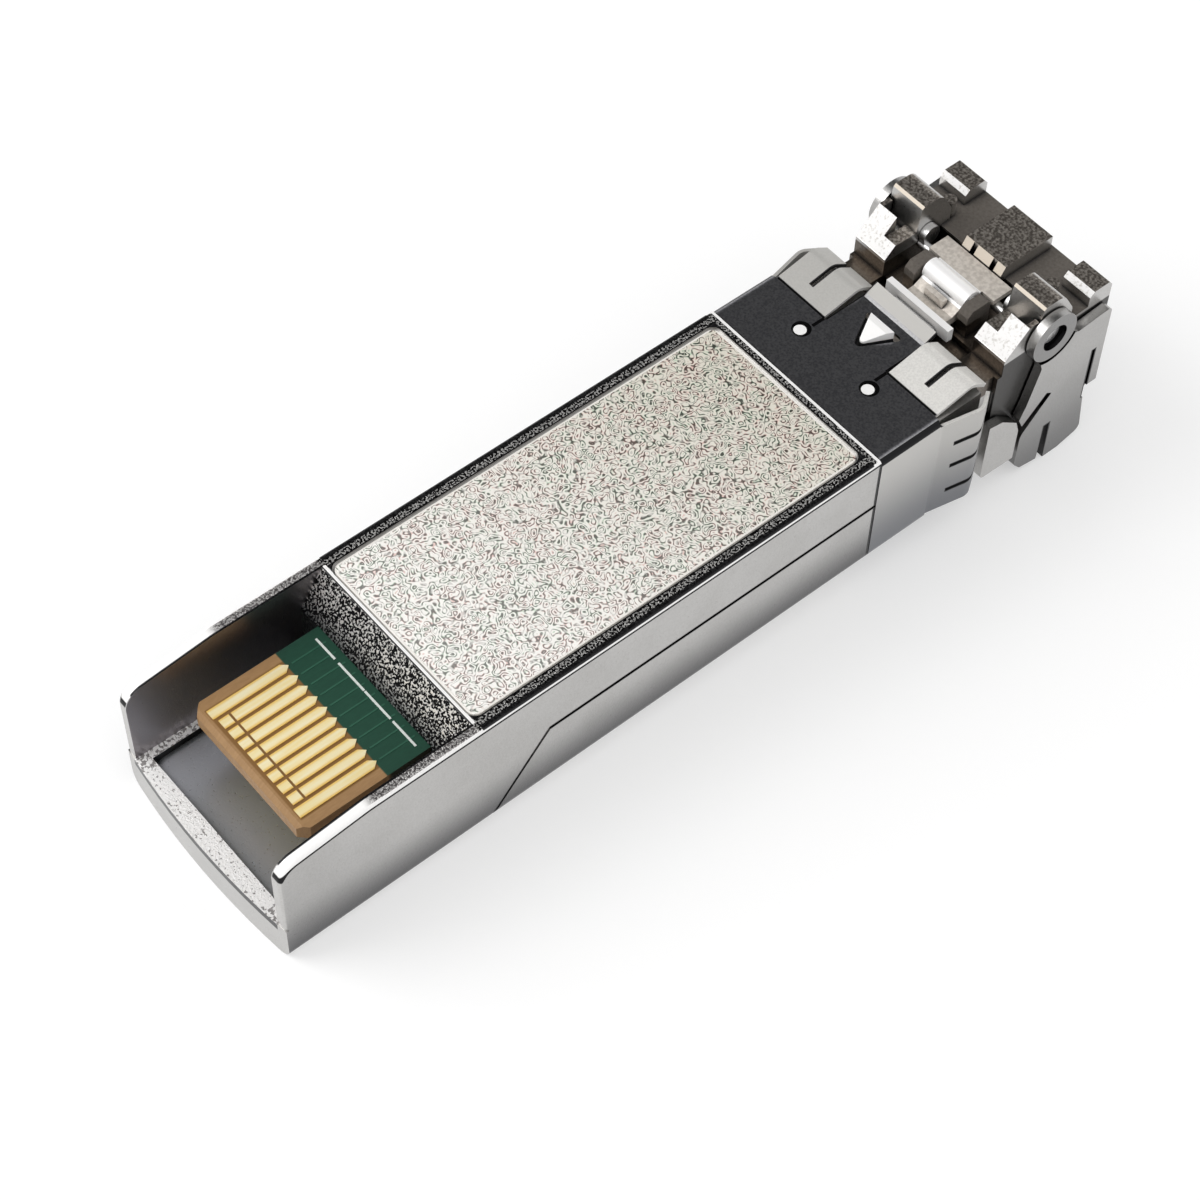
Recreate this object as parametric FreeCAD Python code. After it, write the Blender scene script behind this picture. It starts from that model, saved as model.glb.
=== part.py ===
import FreeCAD, Part
import math
import os

from FreeCAD import Vector

# Pluggable optical transceiver, lying with its latch side up. Millimetres.
# While it is drawn, X runs from the rear face (0) to the front face, Y is across, and Z = 0 is
# the outer face of the cover. The last lines move it to the frame: centred, standing on Z = 0.

# Body and interface sizes of the pluggable form factor
LENGTH = 56.5
WIDTH = 13.4
HEIGHT = 8.5
LATCH_SHOULDER = 45.0
LATCH_HEIGHT = 0.45
BOARD_REAR = 3.2
BOARD_TAIL_WIDTH = 9.2
BOARD_THICK = 1.0
BOARD_BELOW_LATCH_FACE = 2.25
CONTACT_PITCH = 0.8
CONTACT_THICK = 0.05
PORT_PITCH = 6.25
FERRULE_BORE_R = 0.63

# Cast shells
SKIRT = 0.7
WALL = 0.8
ROOF = 1.0
EDGE_R = 0.25
LOWER_EDGE_R = 0.7
REAR_BULGE = 0.45
REAR_TOP = 7.95
SLOPE_END = 5.8
REAR_CORNER_R = 1.2
FLOOR = 2.6
FLOOR_POCKET = 0.45
POCKET_START = 1.1
POCKET_RIM = 0.5
MOUTH_END = 10.9
MOUTH_LIP = 12.4
MOUTH_LIP_R = 0.15
BULKHEAD = 1.8
LABEL_START = 12.6
LABEL_END = 38.2
LABEL_HALF = 5.85
LABEL_DEPTH = 0.18
LABEL_CORNER_R = 0.6
SEAM_FOOT = 12.7
SEAM_KNEE = 16.7
SEAM_Z = 4.83
SEAM_GAP = 0.06
TONGUE = (18.0, 37.6)
TONGUE_THICK = 0.36
TONGUE_RISE = 0.5
BODY_END = 38.75
NECK_END = 46.2
NECK_INSET = 0.28
NECK_WALL = 0.7
NECK_CORNER_R = 0.5
LEVER_SLOT_START = 42.3
LEVER_SLOT_HALF = 2.2
LEDGE_WIDTH = 0.9
POST_X = (17.0, 33.0)
POST_Y = 4.7
POST_R = 0.55
PEDESTAL = (25.8, 32.2)
PEDESTAL_HALF = 4.6
PEDESTAL_TOP = 3.6

# Sheet collar
SHEET = 0.2
BAND_END = 43.0
FINGER_CREST = 45.7
FINGER_TIP = 46.75
FINGER_BULGE = 0.55
FINGER_TUCK = 0.15
TAB_IN = 2.5
TAB_OUT = 6.2
SLIT = 0.22
TOP_SLIT_START = 44.0
TOP_SLIT_Y = 4.5
SIDE_SLIT_START = 44.1
SIDE_SLITS_Z = (2.1, 4.2, 6.1)
UNDER_SLIT_START = 43.8
UNDER_SLIT_PITCH = 2.1
PANEL_HALF = 2.35
PANEL_END = 45.9
LIP_END = 46.75
LIP_RISE = 0.45
COLLAR_UPPER_R = 0.45
DIMPLE_X = 41.5
DIMPLE_Y = 2.65
DIMPLE_R = 0.42
STUD_R = 0.36
WINDOW_APEX = 42.8
WINDOW_END = 45.3
WINDOW_HALF = 1.4

# Nose casting
NOSE_START = 48.2
NOSE_HALF = 5.8
NOSE_BOTTOM = -0.4
FRONT_LIP_Z = 0.9
SHELF = 8.35
REAR_LEDGE = 7.2
SPIGOT_START = 43.2
SPIGOT_HALF = 5.66
SPIGOT_Z = (1.06, 6.45)
WAIST_HALF = 5.5
WAIST_FOOT = 0.9
CAVITY_START = 46.0
CAVITY_HALF = 3.5
CAVITY_FLOOR = 7.0
CAVITY_END = 52.75
ARM_ROOM_END = 48.7
ARM_ROOM_FLOOR = 6.6
RAMP_START = 48.5
RAMP_FOOT = 8.42
RAMP_END = 50.05
RAMP_TOP = 10.0
CHEEK_STEP_X = 49.2
CHEEK_STEP_Y = 4.42
CHEEK_STEP_Z = 9.07
POCKET_FLOOR = 8.6
POCKET_OUT = 5.5
HUMP_START = 50.75
HUMP_LEAN = 0.25
HUMP_TOP = 10.85
HUMP_BEVEL = 0.15
HUMP_END = 53.4
KNOB_X = 53.7
KNOB_Y = 3.95
KNOB_R = 0.4
KNOB_TOP = 9.45
BLOCK_START = 52.35
BLOCK_END = 56.25
BLOCK_HALF = 1.5
BLOCK_TOP = 9.3
BLOCK_BEVEL = (0.3, 0.55)
NOTCH_Y = 0.75
NOTCH_WIDTH = 0.32
CORNER_START = 54.8
CORNER_IN = 3.8
CORNER_TOP = 9.35
CORNER_BEVEL = 0.3
LUG_X = (49.0, 50.7)
LUG_Y = (1.7, 2.45)
LUG_TOP = 8.85
LUG_BEVEL = 0.35
PORT_AXIS_Z = 4.2
PORT_WIDTH = 4.55
PORT_HEIGHT = 4.6
PORT_BACK = 48.9
PLUG_CATCH_START = 53.2
PLUG_CATCH_HALF = 1.35
PLUG_CATCH_TOP = 7.4
RECEPTACLE_R = 1.45
RECEPTACLE_BODY_R = 2.0
SIDE_WINDOW = (50.6, 2.6)

# Latch lever, bail and their pivots
RUNNING_GAP = 0.05
LEVER_X = 50.1
LEVER_Z = 8.45
LEVER_HUB_R = 0.62
LEVER_HUB_HALF = 1.6
LEVER_PIN_R = 0.35
LEVER_PIN_HALF = 2.4
LEVER_ARM = (42.9, 7.4, 7.9)
LEVER_ARM_HALF = 1.5
LEVER_PLATE = (50.85, 52.25)
LEVER_PLATE_HALF = 2.5
LEVER_PLATE_Z = (8.39, 8.72)
WEDGE_APEX = 43.2
WEDGE_HALF = 0.9
WEDGE_CREST = 44.6
CROSS_RIB_X = (47.6, 48.0)
CROSS_RIB_HALF = 2.4
SHORT_RIB_X = (48.85, 49.2)
SHORT_RIB_HALF = 0.7
RIB_TOP = 8.45
BAIL_X = 51.6
BAIL_Z = 8.7
BAIL_BOTTOM = -2.5
EYE_R = 1.6
EYE_GROOVE = 0.25
EYE_GROOVE_DEPTH = 0.25
EYE_SOCKET_R = 0.85
EYE_SOCKET_DEPTH = 0.32
ARM_IN = 5.88
ARM_OUT = 6.42
ARM_STEP_Z = 1.9
ARM_SLIT = (55.3, 55.52)
ARM_SLIT_TOP = 5.0
JOURNAL_R = 0.6
WEB_SPAN = (-0.3, 0.9)
WEB_HALF = (0.45, 0.24)
WEB_Y = (3.05, 3.45)
CRANK_R = 0.75
CRANK_REST_DEG = -120.5
CRANK_PIN_R = 0.3
CRANK_PIN_START = 1.9

# Inside parts
BOARD_END = 36.5
BOARD_CORNER = 0.5
BOARD_BEVEL = 0.25
FINGER_WIDTH = 0.6
FINGER_REAR = 0.45
FINGER_FRONT = 5.2
FINGER_POINT = 0.35
SHORT_PAD = (0.6, 1.2)
PAD_GAP = 0.14
CLAMP_X = (41.95, 42.55)
CLAMP_HALF = 5.6
CLAMP_Z = (1.1, 7.2)
CHIP_HEIGHT = 0.8
PAD_X = (26.0, 32.0)
PAD_HALF = 4.4
CAN_REAR = 40.2
CAN_FRONT = 42.6
HEADER_R = 2.5
HEADER_THICK = 0.8
CAP_R = 2.0
LEAD_OFFSET = 0.9
LEAD_HALF = 0.18
FLEX_X = 39.62
FLEX_END = 33.6
FLEX_THICK = 0.12
FLEX_HALF = 1.9
FLEX_FOOT = 2.6

HALF = WIDTH / 2
BOARD_TOP = HEIGHT - BOARD_BELOW_LATCH_FACE
BOARD_BOTTOM = BOARD_TOP - BOARD_THICK
PORT_Y = PORT_PITCH / 2
INNER = HALF - WALL
ROOF_Z = HEIGHT - ROOF
NECK_HALF = HALF - NECK_INSET
NECK_TOP = HEIGHT - NECK_INSET


def box(x, y, z):
    """A block from three (low, high) pairs."""
    return Part.makeBox(x[1] - x[0], y[1] - y[0], z[1] - z[0], Vector(x[0], y[0], z[0]))


def in_plane(plane, a, b, level):
    """A point of an outline drawn in the xy, xz or yz plane at a level along the third axis."""
    if plane == "xy":
        return Vector(a, b, level)
    if plane == "xz":
        return Vector(a, level, b)
    return Vector(level, a, b)


def rounded_wire(plane, corners, level):
    """A closed wire through corners (a, b) or (a, b, radius), with an arc at each radius."""
    edges = []
    joints = []
    count = len(corners)
    for i, corner in enumerate(corners):
        here = in_plane(plane, corner[0], corner[1], level)
        radius = corner[2] if len(corner) > 2 else 0
        before = corners[i - 1]
        after = corners[(i + 1) % count]
        back = (in_plane(plane, before[0], before[1], level) - here).normalize()
        ahead = (in_plane(plane, after[0], after[1], level) - here).normalize()
        if radius == 0:
            joints.append((here, here))
            continue
        half_angle = back.getAngle(ahead) / 2
        run = radius / math.tan(half_angle)
        middle = (back + ahead).normalize() * (radius / math.sin(half_angle) - radius)
        first = here + back * run
        last = here + ahead * run
        edges.append(Part.Arc(first, here + middle, last).toShape())
        joints.append((first, last))
    for i in range(count):
        start = joints[i][1]
        stop = joints[(i + 1) % count][0]
        if start.distanceToPoint(stop) > 1e-6:
            edges.append(Part.LineSegment(start, stop).toShape())
    return Part.Wire(Part.__sortEdges__(edges))


def prism(plane, corners, low, high):
    """An outline pushed along the axis across its plane, from low to high."""
    face = Part.Face(rounded_wire(plane, corners, low))
    push = in_plane(plane, 0, 0, high - low)
    return face.extrude(push)


def rounded_block(plane, a, b, radius, low, high):
    """A prism over the rectangle a by b with rounded corners."""
    corners = [(a[0], b[0], radius), (a[1], b[0], radius), (a[1], b[1], radius), (a[0], b[1], radius)]
    return prism(plane, corners, low, high)


def rod_x(radius, x, y, z):
    return Part.makeCylinder(radius, x[1] - x[0], Vector(x[0], y, z), Vector(1, 0, 0))


def rod_y(radius, x, y, z):
    return Part.makeCylinder(radius, y[1] - y[0], Vector(x, y[0], z), Vector(0, 1, 0))


def rod_z(radius, x, y, z):
    return Part.makeCylinder(radius, z[1] - z[0], Vector(x, y, z[0]), Vector(0, 0, 1))


def both_sides(shape):
    """The shape with its mirror image across the middle plane."""
    return shape.fuse(shape.mirror(Vector(0, 0, 0), Vector(0, 1, 0)))


def soften(shape, radius, wanted):
    """Fillet the edges whose middle point passes the test."""
    chosen = []
    for edge in shape.Edges:
        middle = edge.valueAt((edge.FirstParameter + edge.LastParameter) / 2)
        if wanted(middle):
            chosen.append(edge)
    return shape.makeFillet(radius, chosen)


def seam_groove():
    """The fine groove along the parting line, on both side faces."""
    width = 0.09
    depth = 0.12
    line = [
        (SEAM_FOOT - width, -0.1),
        (SEAM_FOOT + width, -0.1),
        (SEAM_KNEE + width, SEAM_Z - width),
        (BODY_END, SEAM_Z - width),
        (BODY_END, SEAM_Z + width),
        (SEAM_KNEE - width, SEAM_Z + width),
    ]
    return both_sides(prism("xz", line, HALF - depth, HALF + 1))


def rear_plan():
    """The body's plan, with its rear face bowed outwards."""
    side_rear = Vector(REAR_BULGE, HALF, -1)
    front = Vector(LENGTH, HALF, -1)
    other_front = Vector(LENGTH, -HALF, -1)
    other_rear = Vector(REAR_BULGE, -HALF, -1)
    edges = [
        Part.Arc(other_rear, Vector(0, 0, -1), side_rear).toShape(),
        Part.LineSegment(side_rear, front).toShape(),
        Part.LineSegment(front, other_front).toShape(),
        Part.LineSegment(other_front, other_rear).toShape(),
    ]
    return Part.Face(Part.Wire(edges)).extrude(Vector(0, 0, HEIGHT + 2))


def base_shell():
    """Casting with the open rear trough, the label face and the upper half of the body."""
    side = [
        (0, 0),
        (SEAM_FOOT, 0),
        (SEAM_KNEE, SEAM_Z),
        (BODY_END, SEAM_Z),
        (BODY_END, HEIGHT),
        (SLOPE_END, HEIGHT, 3),
        (REAR_BULGE, REAR_TOP, REAR_CORNER_R),
        (REAR_BULGE, FLOOR),
        (0, FLOOR),
    ]
    body = prism("xz", side, -HALF, HALF).common(rear_plan())
    trough_half = HALF - SKIRT
    mouth = [
        (-1, FLOOR),
        (MOUTH_END, FLOOR),
        (MOUTH_END, BOARD_TOP),
        (MOUTH_LIP, HEIGHT),
        (MOUTH_LIP, HEIGHT + 2),
        (-1, HEIGHT + 2),
    ]
    body = body.cut(prism("xz", mouth, -trough_half, trough_half))
    body = soften(
        body,
        EDGE_R,
        lambda p: abs(p.y) > HALF - 0.01 and p.z > SEAM_Z + 0.2 and p.x < BODY_END - 0.1,
    )
    body = soften(body, LOWER_EDGE_R, lambda p: abs(p.y) > HALF - 0.01 and p.z < 0.01)
    body = soften(body, MOUTH_LIP_R, lambda p: abs(p.x - MOUTH_LIP) < 0.01 and p.z > HEIGHT - 0.01)
    pocket_half = trough_half - POCKET_RIM
    pocket = box((POCKET_START, MOUTH_END), (-pocket_half, pocket_half), (FLOOR - FLOOR_POCKET, FLOOR + 1))
    inside = box((MOUTH_END + BULKHEAD, LENGTH), (-INNER, INNER), (FLOOR, ROOF_Z))
    slot_half = BOARD_TAIL_WIDTH / 2 + RUNNING_GAP
    board_slot = box(
        (MOUTH_END - 1, MOUTH_END + BULKHEAD + 1),
        (-slot_half, slot_half),
        (BOARD_BOTTOM - RUNNING_GAP, BOARD_TOP + RUNNING_GAP),
    )
    label_floor = HEIGHT - LABEL_DEPTH
    label = rounded_block(
        "xy", (LABEL_START, LABEL_END), (-LABEL_HALF, LABEL_HALF), LABEL_CORNER_R, label_floor, HEIGHT + 1
    )
    tongue_x = (TONGUE[0] - 0.1, TONGUE[1] + 0.1)
    tongue_top = SEAM_Z + TONGUE_RISE + SEAM_GAP
    tongue_y = (INNER - 1, INNER + TONGUE_THICK + SEAM_GAP)
    tongue_room = both_sides(box(tongue_x, tongue_y, (SEAM_Z - 1, tongue_top)))
    body = body.cut(pocket).cut(inside).cut(board_slot).cut(label).cut(seam_groove()).cut(tongue_room)
    ledge = both_sides(box((14, 36), (INNER - LEDGE_WIDTH, INNER + 0.1), (BOARD_TOP, ROOF_Z + 0.1)))
    neck = box((BODY_END - 0.5, NECK_END), (-NECK_HALF, NECK_HALF), (SEAM_Z, NECK_TOP))
    hollow = NECK_HALF - NECK_WALL
    neck_inside = box((BODY_END - 2, LENGTH), (-hollow, hollow), (0, NECK_TOP - NECK_WALL))
    lever_slot = box((LEVER_SLOT_START, LENGTH), (-LEVER_SLOT_HALF, LEVER_SLOT_HALF), (SEAM_Z, HEIGHT + 1))
    neck = neck.cut(neck_inside).cut(lever_slot)
    studs = both_sides(rod_z(STUD_R, DIMPLE_X, DIMPLE_Y, (NECK_TOP - 0.2, HEIGHT)))
    return body.fuse([ledge, neck, studs]).removeSplitter()


def cover_shell():
    """Lower half of the body: a trough with a slanted rear end and a neck under the collar."""
    top = SEAM_Z - SEAM_GAP
    slant = (SEAM_KNEE - SEAM_FOOT) / SEAM_Z
    foot = SEAM_FOOT + SEAM_GAP * 1.5
    side = [(foot, 0), (foot + slant * top, top), (BODY_END, top), (BODY_END, 0)]
    body = prism("xz", side, -HALF, HALF)
    body = soften(body, LOWER_EDGE_R, lambda p: abs(p.y) > HALF - 0.01 and p.z < 0.01)
    inside = box((SEAM_FOOT - 1, LENGTH), (-INNER, INNER), (WALL, HEIGHT))
    body = body.cut(inside).cut(seam_groove())
    tongue = both_sides(box(TONGUE, (INNER, INNER + TONGUE_THICK), (SEAM_Z - 0.5, SEAM_Z + TONGUE_RISE)))
    section = [
        (-NECK_HALF, top),
        (-NECK_HALF, NECK_INSET, NECK_CORNER_R),
        (NECK_HALF, NECK_INSET, NECK_CORNER_R),
        (NECK_HALF, top),
    ]
    neck = prism("yz", section, BODY_END - 0.5, NECK_END)
    hollow = NECK_HALF - NECK_WALL
    neck_inside = box((BODY_END - 2, LENGTH), (-hollow, hollow), (NECK_INSET + NECK_WALL, HEIGHT))
    pedestal = box(PEDESTAL, (-PEDESTAL_HALF, PEDESTAL_HALF), (WALL - 0.1, PEDESTAL_TOP))
    posts = [rod_z(POST_R, x, y, (WALL - 0.1, BOARD_BOTTOM)) for x in POST_X for y in (-POST_Y, POST_Y)]
    return body.fuse([tongue, neck.cut(neck_inside), pedestal] + posts).removeSplitter()


def finger_outline(face, sign):
    """Section of a spring finger: it leans out from the band and turns back in at its tip."""
    return [
        (BAND_END - 0.3, face),
        (BAND_END, face),
        (FINGER_CREST, face + sign * FINGER_BULGE, 0.9),
        (FINGER_TIP, face - sign * FINGER_TUCK),
        (FINGER_TIP - 0.15, face - sign * (FINGER_TUCK + SHEET * 0.8)),
        (FINGER_CREST - 0.05, face + sign * (FINGER_BULGE - SHEET), 0.7),
        (BAND_END, face - sign * SHEET),
        (BAND_END - 0.3, face - sign * SHEET),
    ]


def ring_section(inset):
    """The collar's section across the body, moved in from the outer faces."""
    half = HALF - inset
    lower_r = LOWER_EDGE_R - inset
    upper_r = COLLAR_UPPER_R - inset
    low = inset
    high = HEIGHT - inset
    return [(-half, low, lower_r), (half, low, lower_r), (half, high, upper_r), (-half, high, upper_r)]


def emi_collar():
    """Sheet ring round the joined necks, with spring fingers towards the nose on all four sides."""
    start = BODY_END + SEAM_GAP
    in_top = HEIGHT - SHEET
    band = prism("yz", ring_section(0), start, BAND_END)
    band = band.cut(prism("yz", ring_section(SHEET), start - 1, LENGTH))
    top_tab = prism("xz", finger_outline(HEIGHT, 1), TAB_IN, TAB_OUT)
    side_tab = prism("xy", finger_outline(HALF, 1), LOWER_EDGE_R, HEIGHT - COLLAR_UPPER_R)
    under_half = HALF - LOWER_EDGE_R
    under_tab = prism("xz", finger_outline(0, -1), -under_half, under_half)
    half_slit = SLIT / 2
    top_slit_y = (TOP_SLIT_Y - half_slit, TOP_SLIT_Y + half_slit)
    cuts = [both_sides(box((TOP_SLIT_START, LENGTH), top_slit_y, (HEIGHT - 1, HEIGHT + 1)))]
    for z in SIDE_SLITS_Z:
        cuts.append(box((SIDE_SLIT_START, LENGTH), (-HALF - 1, HALF + 1), (z - half_slit, z + half_slit)))
    for k in range(-2, 3):
        y = k * UNDER_SLIT_PITCH
        cuts.append(box((UNDER_SLIT_START, LENGTH), (y - half_slit, y + half_slit), (-1, 1)))
    panel = box((BAND_END - 0.1, PANEL_END), (-PANEL_HALF, PANEL_HALF), (in_top, HEIGHT))
    lip_outline = [
        (PANEL_END - 0.1, HEIGHT),
        (LIP_END, HEIGHT + LIP_RISE),
        (LIP_END + 0.05, HEIGHT + LIP_RISE - SHEET),
        (PANEL_END - 0.1, in_top),
    ]
    lip = prism("xz", lip_outline, -PANEL_HALF, PANEL_HALF)
    window = [(WINDOW_APEX, 0, 0.3), (WINDOW_END, -WINDOW_HALF, 0.2), (WINDOW_END, WINDOW_HALF, 0.2)]
    cuts.append(prism("xy", window, HEIGHT - 1, HEIGHT + 1))
    cuts.append(both_sides(rod_z(DIMPLE_R, DIMPLE_X, DIMPLE_Y, (HEIGHT - 1, HEIGHT + 1))))
    collar = band.fuse([both_sides(top_tab), both_sides(side_tab), under_tab, panel, lip])
    return collar.cut(Part.makeCompound(cuts)).removeSplitter()


def nose_core():
    """Solid block of the nose in side view, its lower front corner swept on the bail's circle."""
    sweep = math.hypot(LENGTH - BAIL_X, FRONT_LIP_Z - BAIL_Z)
    foot_x = BAIL_X + math.sqrt(sweep**2 - (NOSE_BOTTOM - BAIL_Z) ** 2)
    lip_angle = math.atan2(FRONT_LIP_Z - BAIL_Z, LENGTH - BAIL_X)
    foot_angle = math.atan2(NOSE_BOTTOM - BAIL_Z, foot_x - BAIL_X)
    middle = (lip_angle + foot_angle) / 2
    rear_low = Vector(NOSE_START, -NOSE_HALF, NOSE_BOTTOM)
    arc_start = Vector(foot_x, -NOSE_HALF, NOSE_BOTTOM)
    arc_middle = Vector(BAIL_X + sweep * math.cos(middle), -NOSE_HALF, BAIL_Z + sweep * math.sin(middle))
    arc_end = Vector(LENGTH, -NOSE_HALF, FRONT_LIP_Z)
    front_top = Vector(LENGTH, -NOSE_HALF, SHELF)
    rear_top = Vector(NOSE_START, -NOSE_HALF, SHELF)
    edges = [
        Part.LineSegment(rear_low, arc_start).toShape(),
        Part.Arc(arc_start, arc_middle, arc_end).toShape(),
        Part.LineSegment(arc_end, front_top).toShape(),
        Part.LineSegment(front_top, rear_top).toShape(),
        Part.LineSegment(rear_top, rear_low).toShape(),
    ]
    return Part.Face(Part.Wire(edges)).extrude(Vector(0, 2 * NOSE_HALF, 0))


def side_pads():
    """Raised pad on each side of the nose, behind the foot of the bail's arm."""
    pad = [
        (47.6, 4.1),
        (47.6, -0.3, 0.3),
        (50.15, -0.4),
        (50.15, 2.0, 0.3),
        (49.85, 2.9),
        (48.6, 3.9, 0.4),
    ]
    return both_sides(prism("xz", pad, NOSE_HALF - 0.3, ARM_OUT))


def cheeks():
    """Ramps behind the bail's pivots, the humps that carry them and the blocks at the front corners."""
    foot = REAR_LEDGE
    ramp = [
        (RAMP_START, foot),
        (RAMP_START, RAMP_FOOT),
        (RAMP_END, RAMP_TOP),
        (HUMP_START, RAMP_TOP),
        (HUMP_START, foot),
    ]
    step = box((CHEEK_STEP_X, HUMP_START), (CAVITY_HALF - 1, CHEEK_STEP_Y), (CHEEK_STEP_Z, RAMP_TOP + 1))
    pocket = box((RAMP_END, HUMP_START), (CHEEK_STEP_Y - 0.1, POCKET_OUT), (POCKET_FLOOR, RAMP_TOP + 1))
    ramp_block = prism("xz", ramp, CAVITY_HALF, NOSE_HALF).cut(step).cut(pocket)
    bevel_x = HUMP_START + HUMP_LEAN
    hump = [
        (HUMP_START, foot),
        (HUMP_START, CHEEK_STEP_Z),
        (bevel_x, HUMP_TOP - HUMP_BEVEL),
        (bevel_x + HUMP_BEVEL, HUMP_TOP),
        (BAIL_X + 0.9, HUMP_TOP, 0.8),
        (HUMP_END, CORNER_TOP, 0.6),
        (HUMP_END, foot),
    ]
    corner = [
        (CORNER_START, foot),
        (CORNER_START, CORNER_TOP - CORNER_BEVEL),
        (CORNER_START + CORNER_BEVEL, CORNER_TOP),
        (BLOCK_END, CORNER_TOP),
        (LENGTH, CORNER_TOP - CORNER_BEVEL),
        (LENGTH, foot),
    ]
    hump_block = prism("xz", hump, CAVITY_HALF, NOSE_HALF)
    corner_block = prism("xz", corner, CORNER_IN, NOSE_HALF)
    knob = rod_z(KNOB_R, KNOB_X, KNOB_Y, (SHELF - 0.1, KNOB_TOP))
    return both_sides(ramp_block.fuse([hump_block, corner_block, knob]))


def nose_housing():
    """Casting with the two plug ports, the lever cavity and the bearings of the bail."""
    spigot = box((SPIGOT_START, CAVITY_START + 0.4), (-SPIGOT_HALF, SPIGOT_HALF), SPIGOT_Z)
    waist = box((CAVITY_START + 0.3, NOSE_START + 0.1), (-WAIST_HALF, WAIST_HALF), (WAIST_FOOT, REAR_LEDGE))
    above = HEIGHT + 4
    cavity = box((CAVITY_START, CAVITY_END), (-CAVITY_HALF, CAVITY_HALF), (CAVITY_FLOOR, above))
    arm_room = box((CAVITY_START, ARM_ROOM_END), (-CAVITY_HALF, CAVITY_HALF), (ARM_ROOM_FLOOR, above))
    rear_step = box((NOSE_START - 1, RAMP_START), (-NOSE_HALF - 1, NOSE_HALF + 1), (REAR_LEDGE, above))
    block = nose_core().fuse([cheeks(), spigot, waist, side_pads()])
    block = block.cut(cavity).cut(arm_room).cut(rear_step)
    foot = CAVITY_FLOOR - 0.1
    middle_outline = [
        (BLOCK_START, foot),
        (BLOCK_START, BLOCK_TOP - BLOCK_BEVEL[1]),
        (BLOCK_START + BLOCK_BEVEL[0], BLOCK_TOP),
        (BLOCK_END, BLOCK_TOP),
        (BLOCK_END, foot),
    ]
    middle = prism("xz", middle_outline, -BLOCK_HALF, BLOCK_HALF)
    notch_y = (NOTCH_Y - NOTCH_WIDTH / 2, NOTCH_Y + NOTCH_WIDTH / 2)
    notch = box((BLOCK_START - 0.1, BLOCK_START + BLOCK_BEVEL[0]), notch_y, (SHELF, above))
    lug_outline = [
        (LUG_X[0], foot),
        (LUG_X[0], LUG_TOP - LUG_BEVEL),
        (LUG_X[0] + LUG_BEVEL, LUG_TOP),
        (LUG_X[1] - LUG_BEVEL / 2, LUG_TOP),
        (LUG_X[1], LUG_TOP - LUG_BEVEL / 2),
        (LUG_X[1], foot),
    ]
    lugs = both_sides(prism("xz", lug_outline, LUG_Y[0], LUG_Y[1]))
    block = block.fuse([middle.cut(both_sides(notch)), lugs])
    cuts = [
        both_sides(rod_y(JOURNAL_R + RUNNING_GAP, BAIL_X, (CAVITY_HALF - 0.5, HALF), BAIL_Z)),
        rod_y(LEVER_PIN_R + 0.01, LEVER_X, (-LEVER_PIN_HALF, LEVER_PIN_HALF), LEVER_Z),
    ]
    for y in (-PORT_Y, PORT_Y):
        port_y = (y - PORT_WIDTH / 2, y + PORT_WIDTH / 2)
        port_z = (PORT_AXIS_Z - PORT_HEIGHT / 2, PORT_AXIS_Z + PORT_HEIGHT / 2)
        catch_y = (y - PLUG_CATCH_HALF, y + PLUG_CATCH_HALF)
        cuts.append(box((PORT_BACK, LENGTH + 1), port_y, port_z))
        cuts.append(box((PLUG_CATCH_START, LENGTH + 1), catch_y, (port_z[1] - 0.1, PLUG_CATCH_TOP)))
        cuts.append(rod_x(RECEPTACLE_R + RUNNING_GAP, (CAVITY_START, PORT_BACK + 0.1), y, PORT_AXIS_Z))
        cuts.append(rod_x(RECEPTACLE_BODY_R + RUNNING_GAP, (43, CAVITY_START + 0.3), y, PORT_AXIS_Z))
    window_x = (SIDE_WINDOW[0], CAVITY_END)
    window_y = (SIDE_WINDOW[1], CAVITY_HALF)
    cuts.append(both_sides(box(window_x, window_y, (PORT_AXIS_Z, CAVITY_FLOOR + 0.1))))
    return block.cut(Part.makeCompound(cuts)).removeSplitter()


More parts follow.
